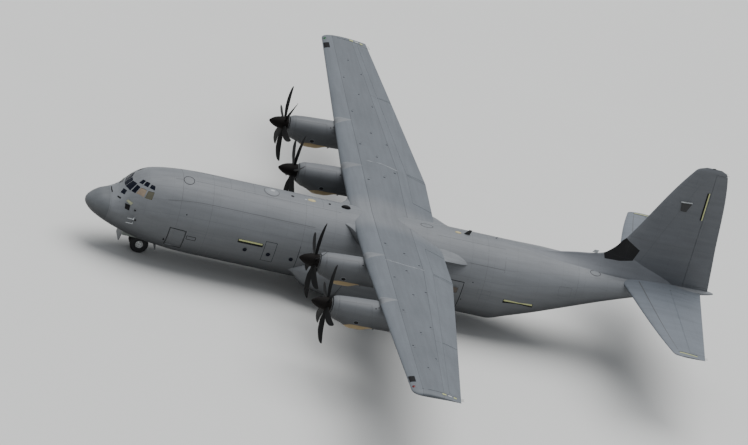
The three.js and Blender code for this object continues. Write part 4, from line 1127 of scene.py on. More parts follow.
def centre_wing_solid(grow=0.0):
    """The wing between its two breaks."""
    y = np.array([-WING_BREAK + SEAM / 2, -2.0, 0, 2.0, WING_BREAK - SEAM / 2])
    share, face = section_shares()
    return loft(on_wing(y[:, None], share, face, grow))


def outer_wing_solid(side, grow=0.0):
    """The wing outside its break, its tip rounded over its last half metre by a quarter circle."""
    turn = np.linspace(0, np.pi / 2, 12)[1:]
    tip, bend = SPAN / 2, 0.42
    y = np.linspace(WING_BREAK + SEAM / 2, tip - bend, 24)
    y = np.concatenate([y, tip - bend * (1 - np.sin(turn))])
    nose_cut = np.concatenate([np.zeros(24), bend * (1 - np.cos(turn))])
    thin = np.concatenate([np.ones(24), 0.35 + 0.65 * np.cos(turn)])
    share, face = section_shares()
    return loft(on_wing(side * y[:, None], share, face, grow, nose_cut[:, None], thin[:, None]))


def tailplane_solid(grow=0.0):
    """The tailplane filled in, its tips rounded by a quarter circle."""
    turn = np.linspace(0, np.pi / 2, 10)[1:]
    half = np.concatenate([np.linspace(0, 7.6, 16), 7.6 + (TAIL_SPAN / 2 - 7.6) * np.sin(turn)])
    y = np.concatenate([-half[:0:-1], half])
    share, face = section_shares()
    return loft(on_stab(y[:, None], share, face, grow))


def all_panes():
    """Every flight deck window, as its name and its outline with round corners."""
    made = []
    for name, corners in PANES.items():
        outline = rounded(grown(corners, 0.032), 0.025)
        made.append((name, outline))
        if name != "middle":
            made.append((name, outline[::-1] * (1, -1)))
    return made


def hinge_point(y, share=CONTROL_SHARE):
    """A place on the wing's mean line with half the thickness there."""
    _, chord, thickness, _, _ = wing_at(y)
    return on_wing(np.float64(y), share, 0), half_thickness(share, thickness) * chord


def lip_back(half, travel):
    """How far ahead of a hinge the fixed skin ends, to clear the control: half·tan(travel/2) and a gap."""
    return half * np.tan(travel / 2) + RUNNING_GAP if travel else 0


def area_behind(start, end, ease=0.0, travel=None):
    """What lies behind a hinge line seen from above, its ends square to the line and moved out by ease.

    With a travel, it starts ahead of the line by the lip's distance at each end.
    """
    (a, near), (b, far) = start, end
    line = (b - a)[:2] / np.linalg.norm((b - a)[:2])
    square = np.sign(line[1]) * np.array([line[1], -line[0]])
    lips = (0, 0) if travel is None else (lip_back(near, travel), lip_back(far, travel))
    a, b = a[:2] - line * ease, b[:2] + line * ease
    return prism([a - square * lips[0], a + square * 5.5, b + square * 5.5, b - square * lips[1]], 2, 2.5, 7.5)


def hinge_bar(start, end, extra, gap):
    """A cone about a hinge line, as thick as the surface at each end, gap wider and extra longer."""
    (a, ra), (b, rb) = start, end
    step = (b - a) / np.linalg.norm(b - a) * extra
    path = np.linspace(a - step, b + step, 12)
    return tube(path, np.linspace(ra, rb, 12) + gap - HINGE_EASE, 40)


def control_and_rest(name, whole, start, end, area, wide_area, material):
    """The two meshes of a split surface: a control with a round nose, and the steps that leave its cove."""
    both = carved(name, area, material, [join(hinge_bar(start, end, 0, 0), material)])
    control = carved(name, whole, material, [keep(both, material)])
    rest = [cut(wide_area), cut(hinge_bar(start, end, RUNNING_GAP, RUNNING_GAP))]
    return control, rest


# Settings


def colour_setting(name, description, default):
    """A colour that can be set."""
    return FloatVectorProperty(name=name, description=description, subtype="COLOR", size=3, default=default)


class PlanePaint(bpy.types.PropertyGroup):
    """The colours of the aircraft."""

    hull: colour_setting("Hull", "Paint of the fuselage", (0.19, 0.2, 0.212))
    wing: colour_setting("Wing", "Paint of the wing", (0.138, 0.153, 0.17))
    stab: colour_setting("Tailplane", "Paint of the tailplane", (0.165, 0.184, 0.208))
    fin: colour_setting("Fin", "Paint of the fin and rudder", (0.17, 0.18, 0.196))
    tan: colour_setting("Tan", "Oil coolers below the nacelles", (0.3, 0.225, 0.12))
    radome: colour_setting("Radome", "Colour of the nose", (0.137, 0.146, 0.155))


class PlaneStage(bpy.types.PropertyGroup):
    """The floor and the lights."""

    floor: colour_setting("Floor", "Colour of the floor", (0.72, 0.72, 0.7))
    sun: FloatProperty(name="Top light", description="Strength of the light above", default=3.1, min=0)
    sky: FloatProperty(name="Sky", description="Strength of the light all round", default=0.42, min=0)


# Operators


class PLANE_OT_hull(bpy.types.Operator):
    """Builds the fuselage's sections, hollow, with their openings"""

    bl_idname = "plane.hull"
    bl_label = "Fuselage sections"

    def execute(self, context):
        radome = painted("radome_plastic", hull_solid(0, RADOME_END - SEAM))
        piece("radome_shell", radome, ["radome"])
        hinge = [(x, *CREW_HINGE) for x in (CREW_DOOR[0] - 0.02, CREW_DOOR[1] + 0.02)]
        self.section("flight_deck", RADOME_END, FLIGHT_DECK_END, [
            join(block(2.3, 4.25, -0.74, 0.74, 1.0, 1.68)),
            cut(block(*NOSE_WELL)),
            cut(door_cut(CREW_DOOR, PORT, RUNNING_GAP)),
            cut(tube(hinge, 0.074, 32)),
            *(cut(prism(outline, 2, 3.1, 5.0), "line_grey") for _, outline in all_panes()),
        ], RADOME_END + WALL)
        self.section("forward", FLIGHT_DECK_END, FORWARD_END, [
            cut(prism(ellipse((x, 2.37), 0.115), 1, *sorted((side * 1.8, side * 2.4))), "line_grey")
            for x in ROUND_WINDOWS for side in SIDES.values()])
        x0, x1, y0, _, _, top = MAIN_WELL
        humps, cuts = [], []
        for side in SIDES.values():
            inner, outer = sorted((side * (y0 - 0.12), side * 2.0))
            humps.append(join(block(x0 - 0.12, x1 + 0.12, inner, outer, 0.9, top + 0.12)))
            cuts.append(cut(block(x0, x1, *sorted((side * y0, side * 2.6)), 0, top)))
            cuts.append(cut(door_cut(PARATROOP_DOOR, side, SEAM)))
        self.section("centre", FORWARD_END, CENTRE_END, [*humps, *cuts, cut(centre_wing_solid(0.004))])
        self.section("aft", CENTRE_END, AFT_END, [
            cut(ramp_block(RUNNING_GAP)), cut(cargo_door_block(RUNNING_GAP)), cut(tailplane_solid(0.004))])
        cone = carved("cone", hull_solid(AFT_END, LENGTH), "hull_paint", [cut(tailplane_solid(0.004))])
        hull_piece("tail_cone_shell", cone, ["tail_cone"])
        self.fairings()
        return {"FINISHED"}

    def section(self, name, start, end, steps, inside_from=None):
        """One length of hull: its outside less its room, then its own steps."""
        room = hull_solid(start - 0.4 if inside_from is None else inside_from, end + 0.4, -WALL)
        mesh = carved(name, hull_solid(start, end - SEAM), "hull_paint", [cut(room), *steps])
        hull_piece(name + "_hull_shell", mesh, [name + "_hull"])

    def fairings(self):
        """The two wing root fairings: half ellipses from the hull outwards, cut by the hull and the wing."""
        x = spread(WING_ROOT[0][0], WING_ROOT[-1][0], 0.1)[:, None]
        out, top, edge, bottom = columns(WING_ROOT, x)
        a = np.linspace(0, np.pi, 40)[None]
        upper = a < np.pi / 2
        z = edge + np.where(upper, top - edge, edge - bottom) * power(np.cos(a), np.where(upper, 1.5, 0.8))
        for end, side in SIDES.items():
            skin = loft(points_of(x, side * (1.0 + (out - 1.0) * np.sin(a)), z))
            steps = [cut(hull_solid(12, 21.5, 0.001)), cut(centre_wing_solid(0.003))]
            hull_piece("wing_root_" + end, carved("root", skin, "hull_paint", steps))


class PLANE_OT_doors(bpy.types.Operator):
    """Builds the doors of the hull and the cargo ramp"""

    bl_idname = "plane.doors"
    bl_label = "Doors and ramp"

    def execute(self, context):
        self.door("cargo_ramp", "ramp_body", (21, 27), [keep(ramp_block(0))])
        hollow = cut(hull_solid(23, 32, -WALL))
        self.door("cargo_door", "cargo_door_body", (24, 31), [
            hollow, keep(cargo_door_block(0, CARGO_DOOR_TRAVEL))])
        hollow = cut(hull_solid(3.2, 6.4, -WALL + 0.02))
        self.door("crew_door", "crew_door_body", (3.6, 6), [hollow, keep(door_cut(CREW_DOOR, PORT, 0))])
        hollow = cut(hull_solid(18.6, 21.4, -WALL + 0.03))
        for end, side in SIDES.items():
            steps = [hollow, keep(door_cut(PARATROOP_DOOR, side, 0))]
            self.door("paratroop_door_" + end, "airframe", (19, 21), steps)
        return {"FINISHED"}

    def door(self, name, body, span, steps):
        """One panel cut out of the hull's skin."""
        mesh = carved(name + "_cut", hull_solid(*span), "hull_paint", steps)
        hull_piece(name + "_panel", mesh, [name], body)


class PLANE_OT_wings(bpy.types.Operator):
    """Builds the wing with its flaps and ailerons"""

    bl_idname = "plane.wings"
    bl_label = "Wing and control surfaces"

    def execute(self, context):
        cuts = []
        for end, side in SIDES.items():
            cuts += self.control("inner_flap", end, side, centre_wing_solid())
        self.fixed("centre_wing", centre_wing_solid(), cuts)
        for end, side in SIDES.items():
            whole = outer_wing_solid(side)
            cuts = self.control("outer_flap", end, side, whole) + self.control("aileron", end, side, whole)
            self.fixed("outer_wing_" + end, whole, cuts)
        return {"FINISHED"}

    def fixed(self, name, whole, cuts):
        """The part of a wing that doesn't move."""
        mesh = carved(name + "_cut", whole, "wing_paint", cuts)
        piece(name + "_box", mark(mesh, share=wing_share), [name])

    def control(self, name, end, side, whole):
        """Adds one flap or aileron and gives the steps that make room for it."""
        y0, y1, ease, travel = CONTROLS[name]
        ends = hinge_point(side * y0), hinge_point(side * y1)
        areas = area_behind(*ends), area_behind(*ends, ease, travel)
        mesh, steps = control_and_rest(name, whole, *ends, *areas, "wing_paint")
        label = f"{name}_{end}"
        piece(label + "_panel", mark(mesh, share=wing_share), [label], label + "_body")
        return steps


class PLANE_OT_tail(bpy.types.Operator):
    """Builds the fin, rudder, tailplane and elevators"""

    bl_idname = "plane.tail"
    bl_label = "Tail surfaces"

    def execute(self, context):
        self.tailplane()
        self.fin()
        return {"FINISHED"}

    def tailplane(self):
        """The tailplane in one piece with an elevator behind each half."""
        whole = tailplane_solid()
        steps = []
        for end, side in SIDES.items():
            ends = [(np.array([STAB_HINGE, side * y, STAB_HEIGHT]), half_at(STAB, y, STAB_HINGE))
                    for y in ELEVATOR_SPAN]
            areas = area_behind(*ends), area_behind(*ends, RUNNING_GAP, ELEVATOR_TRAVEL)
            control, rest = control_and_rest("elevator", whole, *ends, *areas, "stab_paint")
            name = "elevator_" + end
            piece(name + "_panel", control, [name], name + "_body")
            steps += rest
        mesh = carved("tailplane_cut", whole, "stab_paint", steps)
        piece("tailplane_panel", mesh, ["tailplane"])

    def fin(self):
        """The fin with its rudder and the long fillet ahead of it."""
        low, high = 4.6, 11.35
        turn = np.linspace(0, np.pi / 2, 9)[1:]
        z = np.concatenate([np.linspace(low, high, 28), high + (FIN_TOP - high) * np.sin(turn)])
        share, face = section_shares()
        whole = loft(on_fin(z[:, None], share, face))
        (foot, near), (head, far) = ends = [
            (np.array([x, 0, z]), half_at(FIN, z, x) + RUDDER_EASE) for x, z in zip(RUDDER_HINGE, RUDDER_SPAN)]

        def area(ease, travel):
            z0, z1 = foot[2] - ease, head[2] + ease
            front = foot[0] - lip_back(near, travel), head[0] - lip_back(far, travel)
            return prism([(front[0], z0), (36, z0), (36, z1), (front[1], z1)], 1, -0.6, 0.6)

        areas = area(0, 0), area(RUNNING_GAP, RUDDER_TRAVEL)
        rudder, steps = control_and_rest("rudder", whole, *ends, *areas, "fin_paint")
        piece("rudder_panel", rudder, ["rudder"], "rudder_body")
        steps.append(cut(hull_solid(20, LENGTH, SEAM), "fin_paint"))
        fin = carved("fin_cut", whole, "fin_paint", steps)
        piece("fin_panel", fin, ["fin"])
        x = spread(DORSAL[0][0], DORSAL[-1][0], 0.09)[:, None]
        q = 1.15 * power(np.linspace(-1, 1, 61), 1.5)[None]
        piece("dorsal_fillet", painted("fin_paint", loft(on_dorsal(x, q))))


class PLANE_OT_engines(bpy.types.Operator):
    """Builds the nacelles and the six-bladed propellers"""

    bl_idname = "plane.engines"
    bl_label = "Engines and propellers"

    def execute(self, context):
        for i, (side, out, axis, phase) in enumerate(ENGINES):
            self.nacelle(i, side, out, axis)
            self.propeller(i, side, out, axis, phase)
        return {"FINISHED"}

    def nacelle(self, i, side, out, axis):
        """One nacelle with its chin intake and exhaust, cut to the wing."""
        y, chin = side * out, axis - 0.44
        angle = circle(72, 0.5)
        body = loft(on_nacelle(i, spread(NACELLE[0][0], NACELLE[-1][0], 0.08)[:, None], angle[None]))
        intake = np.stack([0.3 * power(np.cos(angle), 0.8), 0.095 * power(np.sin(angle), 0.8)], -1)
        wing = centre_wing_solid(0.003) if out < WING_BREAK else outer_wing_solid(side, 0.003)
        # the intake's and exhaust's walls and the join with the wing are near-black as painted shade
        mesh = carved("nacelle", body, "nacelle_paint", [
            cut(prism(intake + (y, chin), 0, 11.2, 12.41), "dark_trim"),
            cut(tube([(16.5, y, axis - 0.2), (17.1, y, axis - 0.22)], 0.21, 40), "dark_trim"),
            cut(wing, "dark_trim"),
        ])
        near = lambda x: np.clip(1 - ((x - 13.45) / 1.15) ** 4, 0, 1)
        mark(mesh, low=lambda p: (axis - p[:, 2]) / 0.8 * near(p[:, 0]))
        name = f"nacelle_{i + 1}"
        piece(name + "_cowl", mesh, [name])
        skin = lambda x, a, grow=0.0: on_nacelle(i, x, a, grow)
        front = lambda y, z, grow: points_of(NACELLE[0][0] + 0.01 - grow, y, z)
        pipe = [(0.2, 16.25), (0.225, 16.25), (0.215, 16.98), (0.2, 16.98)]
        parts = painted("exhaust_steel", turned(pipe, (0, y, axis - 0.2), 0, 48)) + painted(
            "line_grey",
            rim(front, ellipse((y, chin), (0.33, 0.12), 60), 0.035, 0.03, -0.04),
            aerial(14.35, y, axis - 0.72, 0.16, -0.2, 0.03),
            line(skin, [(12.02, -np.pi), (12.02, np.pi)], 0.018),
        )
        for face in (1, -1):
            vent = (13.15, face * 1.95)
            cowl = [(12.0, face * 0.5), (13.7, face * 0.45), (13.9, face * 1.9), (12.1, face * 1.75)]
            parts += painted("line_grey", frame_line(skin, cowl, 0.014))
            parts += painted("panel_paint", ring(skin, vent, (0.15, 0.125), 0.03, 0.006, 28))
            parts += painted(
                "line_black",
                dot(skin, vent, (0.12, 0.1), 0.003, steps=28),
                dot(skin, (13.95, face * 0.75), (0.035, 0.056), 0.003, steps=20),
                dot(skin, (14.1, face * 0.62), (0.028, 0.0448), 0.003, steps=20),
            )
        piece(name + "_fittings", parts)

    def propeller(self, i, side, out, axis, phase):
        """A pointed spinner and six curved blades."""
        tip = (SPINNER_TIP, side * out, axis)
        along = spread(0, SPINNER_LENGTH, 0.03)
        radius = np.maximum(smooth_rows(SPINNER, along, np.sqrt)[:, 0], 0.002)
        spinner = turned(np.stack([radius, along], -1), tip, 0, 48, False)
        blades = [self.blade(-np.radians(phase + 60 * k), side * out, axis) for k in range(6)]
        back = [(0.2, 1.03), (0.372, 1.03), (0.376, 1.045), (0.372, 1.06), (0.2, 1.07)]
        mesh = carved("spinner", spinner, "spinner_brown", [
            join(together(*blades), "blade_black"), join(turned(back, tip, 0, 48, False), "line_grey")])
        name = f"propeller_{i + 1}"
        piece(name + "_blades", mesh, [name], f"propeller_body_{i + 1}")

    def blade(self, angle, y, z):
        """One blade: a thin section at each radius, turned by its pitch and swept towards the tip."""
        radius = np.linspace(BLADE[0][0], PROPELLER_RADIUS, 36)
        chord, thick, pitch, sweep = smooth_rows(BLADE, radius).T[:, :, None]
        a = circle(20)[None]
        along = 0.5 * np.cos(a) * chord + sweep
        up = 0.5 * np.sin(a) * thick * (1 + 0.3 * np.cos(a))
        turn = np.radians(pitch)
        x = along * np.sin(turn) + up * np.cos(turn)
        across = along * np.cos(turn) - up * np.sin(turn)
        out = radius[:, None]
        c, s = np.cos(angle), np.sin(angle)
        return loft(points_of(x + PROPELLER_PLANE, y + across * c - out * s, z + across * s + out * c))


class PLANE_OT_flight_deck(bpy.types.Operator):
    """Glazes the flight deck and furnishes it behind the glass"""

    bl_idname = "plane.flight_deck"
    bl_label = "Flight deck"

    def execute(self, context):
        glass, frames = [], []
        for name, outline in all_panes():
            pane = plate(hull_top, grown(outline, 0.005), -0.012, -0.035)
            glass += painted(PANE_REFLECTIONS.get(name, "glass"), pane)
            frames += painted("panel_paint", rim(hull_top, grown(outline, 0.014), 0.018, 0.005))
        piece("flight_deck_glass", glass)
        piece("flight_deck_frames", frames)
        parts = painted(
            "panel_black",
            soft_block(2.45, 2.7, -0.95, 0.95, 2.8, 3.5),
            soft_block(2.3, 2.76, -1.0, 1.0, 3.48, 3.55),
            soft_block(2.7, 3.5, -0.2, 0.2, 2.8, 3.25),
        )
        for y in (-0.78, -0.36, 0.36, 0.78):
            parts += painted("glass", soft_block(2.69, 2.715, y - 0.15, y + 0.15, 3.12, 3.42, 0.12))
        for y in (-0.62, 0.62):
            parts += painted(
                "seat_cloth",
                soft_block(3.1, 3.6, y - 0.25, y + 0.25, 3.06, 3.22),
                soft_block(3.55, 3.7, y - 0.25, y + 0.25, 3.15, 3.8),
                soft_block(3.57, 3.68, y - 0.12, y + 0.12, 3.84, 4.02),
            )
            horns = ((-0.15, 3.38), (-0.12, 3.3), (0.12, 3.3), (0.15, 3.38))
            parts += painted(
                "panel_black",
                soft_block(3.2, 3.5, y - 0.14, y + 0.14, 2.8, 3.08),
                tube([(2.86, y, 2.8), (2.9, y, 3.1), (2.98, y, 3.3)], 0.025),
                tube([(2.98, y + across, z) for across, z in horns], 0.02),
            )
        piece("flight_deck_inside", parts)
        return {"FINISHED"}


class PLANE_OT_inside(bpy.types.Operator):
    """Adds the hull's frames and the cargo floor's rails"""

    bl_idname = "plane.inside"
    bl_label = "Frames and cargo floor"

    def execute(self, context):
        frames = []
        for x in (6.6, 7.4, 8.12, 9.1, 10.45, 11.5, 12.3, 18.3, 19.1, 21.1, 21.8):
            edges = ((-0.025, 0.005), (0.025, 0.005), (0.025, -0.07), (-0.025, -0.07))
            rings = [on_hull(x + along, circle(72, 0.5), depth - WALL) for along, depth in edges]
            frames.append(loft(rings, path_closed=True))
        piece("hull_frames", painted("inside_green", *frames))
        low, high = FLOOR_TOP - 0.01, FLOOR_TOP + 0.025
        rails = [soft_block(6.5, 22.1, y - 0.045, y + 0.045, low, high, 0.12)
                 for y in (-1.1, -0.55, 0.55, 1.1)]
        rollers = [tube([(x, y - 0.2, 1.215), (x, y + 0.2, 1.215)], 0.022, 12)
                   for x in spread(6.9, 21.9, 0.75) for y in (-0.82, 0.82)]
        parts = painted("gear_white", *rails) + painted("bright_metal", *rollers)
        piece("cargo_floor_rails", parts)
        for name in ("cargo_floor", "flight_deck_floor"):
            for slot in bpy.data.objects[name].material_slots:
                slot.material = finish_of("floor_metal")
        return {"FINISHED"}


class PLANE_OT_hull_fittings(bpy.types.Operator):
    """Adds the fuselage's windows, door outlines, light strips, hatches and antennas"""

    bl_idname = "plane.hull_fittings"
    bl_label = "Fuselage fittings"

    def execute(self, context):
        for end, side in SIDES.items():
            piece("side_fittings_" + end, self.side(side))
            piece("nose_fittings_" + end, self.nose(side))
        piece("top_fittings", self.top(hull_top))
        piece("belly_fittings", self.belly(hull_bottom))
        return {"FINISHED"}

    def side(self, side):
        """What one side carries, each in x and height."""
        skin = hull_side(side)
        x0, x1, _, _ = PARATROOP_DOOR
        parts = painted(
            "line_black",
            frame_line(skin, box_of(9.49, 10.1, 1.94, 3.1), 0.022),
            frame_line(skin, box_of(x0 - 0.03, x1 + 0.03, 1.32, 3.2), 0.035),
            frame_line(skin, box_of(5.32, 5.81, 2.23, 2.43), 0.028),
            line(skin, [(11.35, 1.1), (11.35, 3.23)], 0.025),
            dot(skin, (5.0, 3.55), 0.035, 0.004),
            dot(skin, (20.9, 3.3), 0.03, 0.004),
            dot(skin, (20.55, 2.2), 0.03, 0.004),
        )
        parts += painted(
            "line_grey",
            line(skin, [(4.6, 1.6), (4.6, 4.3)], 0.012),
            line(skin, [(22.47, 4.05), (22.47, 4.93)], 0.014),
            line(skin, [(20.5, 4.18), (22.47, 4.18)], 0.014),
            rim(skin, rounded(box_of(19.82, 20.24, 2.48, 2.88), 0.07), 0.05, 0.014),
            *(frame_line(skin, box_of(*ends), 0.012) for ends in SIDE_HATCHES),
        )
        parts += painted("glass_brown", patch(skin, (19.86, 20.2, 2.52, 2.84), 0.06, 0.006))
        if side == PORT:
            x0, x1, z0, z1 = CREW_DOOR
            door = box_of(x0 - 0.03, x1 + 0.03, z0 - 0.03, z1 + 0.03)
            handle = dot(skin, (4.22, 1.85), (0.05, 0.06), 0.02)
            parts += painted("line_black", frame_line(skin, door, 0.03), handle)
        for x0, x1, z in ((8.04, 9.34, 2.87), (22.81, 24.42, 2.69)):
            # each yellow strip sits on a black plate that reaches well below it as a painted shadow
            back = (x0 - 0.04, x1 + 0.04, z - 0.16, z + 0.05)
            parts += painted("line_black", patch(skin, back, 0.02, 0.004))
            parts += painted("strip_yellow", patch(skin, (x0, x1, z - 0.04, z + 0.04), 0.02, 0.016))
        for x in ROUND_WINDOWS:
            parts += painted("glass", dot(skin, (x, 2.37), 0.12, -0.01, -0.03))
            parts += painted("line_grey", ring(skin, (x, 2.37), 0.145, 0.032, 0.008))
        return parts

    def nose(self, side):
        """Sensors, probes and small marks beside the windscreen."""
        skin = hull_side(side)
        sensor = ((1.833, 3.096), (2.076, 3.128), (2.086, 2.848), (1.863, 2.856))
        latch = ((1.44, 3.11), (1.46, 3.16), (1.62, 3.18), (1.6, 3.12))
        lip = ((1.868, 3.21), (1.921, 3.3), (2.176, 3.28), (2.1, 3.15))
        parts = painted(
            "line_black",
            bent_box(skin, sensor, 0.012),
            bent_box(skin, latch, 0.006),
            dome(skin, (2.37, 2.97), 0.05, 0.05),
            dome(skin, (2.52, 2.45), (0.05, 0.06), 0.04),
        )
        parts += painted("lip_yellow", bent_box(skin, lip, 0.05))
        out = side * 1.79
        for z in (2.56, 2.3):
            arm = [(2.44, side * 1.6, z), (2.42, side * 1.72, z - 0.01), (2.36, out, z - 0.02)]
            head = [(x, out, z - 0.02) for x in (2.42, 2.1, 2.04)]
            arm, head = tube(arm, (0.035, 0.028, 0.022), 16), tube(head, (0.026, 0.02, 0.008), 16)
            parts += painted("pale_grey", arm, head)
        return parts

    def top(self, skin):
        """What lies along the crown, each in x and distance from the middle."""
        parts = painted(
            "line_black",
            line(skin, [(1.21, -0.3), (1.19, 0), (1.21, 0.3)], 0.05, 0.02),
            ring(skin, (4.9, -0.55), 0.3, 0.03, 0.006),
            dot(skin, (10.62, 0), 0.09, 0.006),
            dot(skin, (12.67, 0), 0.06, 0.03),
            dome(skin, (13.57, 0), (0.26, 0.13), 0.15),
            frame_line(skin, ellipse((18.08, 0), (0.36, 0.2), 8), 0.02),
        )
        parts += painted(
            "line_grey",
            line(skin, [(4.6, -1.55), (4.6, 1.55)], 0.016),
            line(skin, [(4.2, -0.55), (4.58, -0.55)], 0.015),
            ring(skin, (9.46, 0), 0.43, 0.04, 0.01),
            *(line(skin, [(x, -0.55), (x, 0.55)], 0.012) for x in (7.2, 8.5, 12.3)),
        )
        parts += painted(
            "pale_grey",
            dot(skin, (9.5, 0.02), (0.12, 0.1), 0.068, 0.05),
            dot(skin, (11.35, -0.05), (0.07, 0.05), 0.008),
            aerial(27.35, 0, 5.55, 0.3, 0.16, 0.05, tip=0.8),
            aerial(22.0, 0.3, CROWN - 0.05, 0.12, 0.14, 0.03),
        )
        parts += painted("seal_tan", dome(skin, (11.68, 0), (0.22, 0.14), 0.03))
        parts += painted("seal_tan", dome(skin, (19.84, 0), (0.17, 0.1), 0.04))
        parts += painted("panel_paint", dome(skin, (9.46, 0), 0.4, 0.06))
        parts += painted("panel_black", aerial(20.31, 0, CROWN - 0.02, 0.34, 0.3, 0.05))
        for side in SIDES.values():
            inner, outer = side * 0.55, side * 1.62
            parts += painted(
                "line_grey",
                line(skin, [(5.25, inner), (13.3, inner)], 0.014),
                line(skin, [(18.6, inner * 1.15), (22.47, inner * 1.1)], 0.014),
                line(skin, [(3.9, outer), (11.9, outer)], 0.014),
            )
            parts += painted("line_black", ring(skin, (27.52, outer / 2), (0.3, 0.19), 0.025, 0.005))
        return parts

    def belly(self, skin):
        """Antennas, a lamp and a blister below the hull."""
        blister = dome(skin, (4.85, 0), (0.5, 0.34), 0.14)
        lamp = dome(skin, (11.2, 0), 0.1, 0.1)
        return painted("hull_paint", blister) + painted("lamp_red", lamp) + painted(
            "line_grey",
            aerial(7.6, 0, KEEL + 0.02, 0.3, -0.26, 0.04, -0.5),
            aerial(9.6, 0.3, KEEL + 0.05, 0.24, -0.2, 0.04, -0.5),
            *(frame_line(skin, box_of(*ends), 0.015) for ends in BELLY_HATCHES),
        )


class PLANE_OT_surface_fittings(bpy.types.Operator):
    """Adds the wing's and tail's lamps, strips, tracks and wicks"""

    bl_idname = "plane.surface_fittings"
    bl_label = "Wing and tail fittings"

    def execute(self, context):
        for end, side in SIDES.items():
            piece("wing_fittings_" + end, self.wing(side))
            piece("flap_tracks_" + end, self.tracks(side))
        piece("tail_fittings", self.tail())
        return {"FINISHED"}

    def wing(self, side):
        """Marks, dots beside the spars, a tip lamp, wicks, and ridges behind the nacelles."""
        top, below = wing_skin(1), wing_skin(-1)
        at = lambda y, share: (side * y, share)
        box = lambda y0, y1, low, high: [at(y0, low), at(y0, high), at(y1, high), at(y1, low)]
        seam = [at(WING_BREAK, FRONT_SPAR), at(5.72, 0.33), at(5.76, 0.45), at(WING_BREAK, REAR_SPAR)]
        lamp = "lamp_red" if side == PORT else "lamp_green"
        parts = painted(lamp, dome(top, at(19.6, 0.05), (0.12, 0.03), 0.03))
        parts += painted("panel_paint", line(top, seam, 0.07))
        parts += painted(
            "line_black",
            bent_box(top, box(18.5, 19.1, 0.0, 0.12), 0.005),
            line(top, [at(19.78, 0.2), at(19.78, 0.9)], 0.03),
            *(wick(on_wing(side * y, 1.0, 0), (0.16, 0, -0.015)) for y in (19.68, 19.8, 19.92)),
        )
        parts += painted(
            "line_grey",
            line(top, [at(13.8, REAR_SPAR), at(13.8, CONTROL_SHARE - 0.03)], 0.014),
            *(frame_line(below, box(*span, 0.3, 0.5), 0.012) for span in WING_HATCHES),
        )
        for low, high in ((0.6, 0.68), (0.72, 0.8), (0.84, 0.9)):
            look = "pale_grey" if low == 0.72 else "strip_yellow"
            parts += painted(look, bent_box(top, box(19.84, 19.96, low, high), 0.01))
        for y, share in WING_DOTS:
            parts += painted("line_black", dot(top, at(y, share), (0.035, 0.014), 0.006))
            parts += painted("line_grey", line(top, [at(y + 0.2, share), at(y + 0.2, share + 0.035)], 0.018))
        t, v = np.linspace(0, 1, 16)[:, None], np.linspace(-1, 1, 15)[None]
        for out in (5.07, 10.15):
            y, share = side * (out + v * (0.4 - 0.38 * t)), FRONT_SPAR * t + 0 * v
            crest = top(y, share, 0.1 * (1 - t) * (1 - v**2) ** 1.5)
            parts += painted("hull_paint", loft(np.concatenate([crest, top(y, share, -0.01)[:, ::-1]], 1)))
        return parts

    def tracks(self, side):
        """Curved tracks behind the wing that each flap's nose slides along, about its axis below."""
        parts = []
        for name in ("inner_flap", "outer_flap"):
            y0, y1, _, _ = CONTROLS[name]
            (a, near), (b, far) = hinge_point(side * y0), hinge_point(side * y1)
            axis = (b - a) / np.linalg.norm(b - a)
            forward = np.cross(axis, (0, 0, 1.0))
            forward /= np.linalg.norm(forward) * -np.sign(forward[0])
            rise = np.cross(forward, axis)
            rise *= np.sign(rise[2])
            radius = FLAP_PIVOT_DROP * np.sqrt(1 - axis[2] ** 2)
            corners = np.array(box_of(-0.015, 0.015, -0.045, 0.045))
            out, across = radius + corners[:, :1], corners[:, 1:] * axis
            for share in (0.12, 0.88):
                half = near + (far - near) * share
                centre = a + (b - a) * share - (0, 0, FLAP_PIVOT_DROP)
                low, high = (half - 0.07) / radius, (half + RUNNING_GAP + 0.06) / radius
                turn = spread(low, high, 0.02)[:, None, None]
                rings = centre + out * (np.sin(turn) * forward + np.cos(turn) * rise) + across
                parts += painted("bright_metal", loft(rings))
        return parts

    def tail(self):
        """The fin's light strips and side fairings in painted shadow and highlight, and the tips' strips and
        wicks.
        """
        lamp = soft_block(31.95, 32.15, -0.03, 0.03, FIN_TOP - 0.03, FIN_TOP + 0.03, 0.7)
        parts = painted("panel_black", lamp)
        feet = [on_fin(z, 1.0, 0) for z in (11.58, 11.7)]
        fairing = ((31.0, 9.1), (31.3, 9.1), (31.48, 9.6), (30.9, 9.58))
        for side in SIDES.values():
            skin = fin_side(side)
            feet += [on_stab(side * y, 1.0, 0) for y in (7.74, 7.86)]
            # each fairing: a raised black patch that is painted shadow, under a lip painted pale as a
            # highlight
            parts += painted("panel_black", bent_box(skin, fairing, 0.04))
            parts += painted("pale_grey", line(skin, [(30.86, 9.62), (31.48, 9.66)], 0.05, 0.06))
            parts += painted(
                "strip_yellow",
                line(skin, [(32.31, 8.77), (32.23, 10.4)], 0.06, 0.014),
                line(stab_top, [(side * 7.76, 0.2), (side * 7.82, 0.75)], 0.06, 0.01),
            )
            parts += painted(
                "line_black",
                line(skin, [(32.235, 8.77), (32.155, 10.4)], 0.09, 0.006),
                line(stab_top, [(side * 7.68, 0.18), (side * 7.7, 0.78)], 0.03, 0.006),
            )
            parts += painted(
                "line_grey",
                line(skin, [(29.6, 5.2), (31.6, 10.9)], 0.014),
                line(skin, [(28.9, 7.0), (32.2, 7.0)], 0.012),
                line(stab_top, [(side * 0.75, 0.2), (side * 7.5, 0.2)], 0.014),
            )
        return parts + painted("line_black", *(wick(foot, (0.14, 0, 0)) for foot in feet))


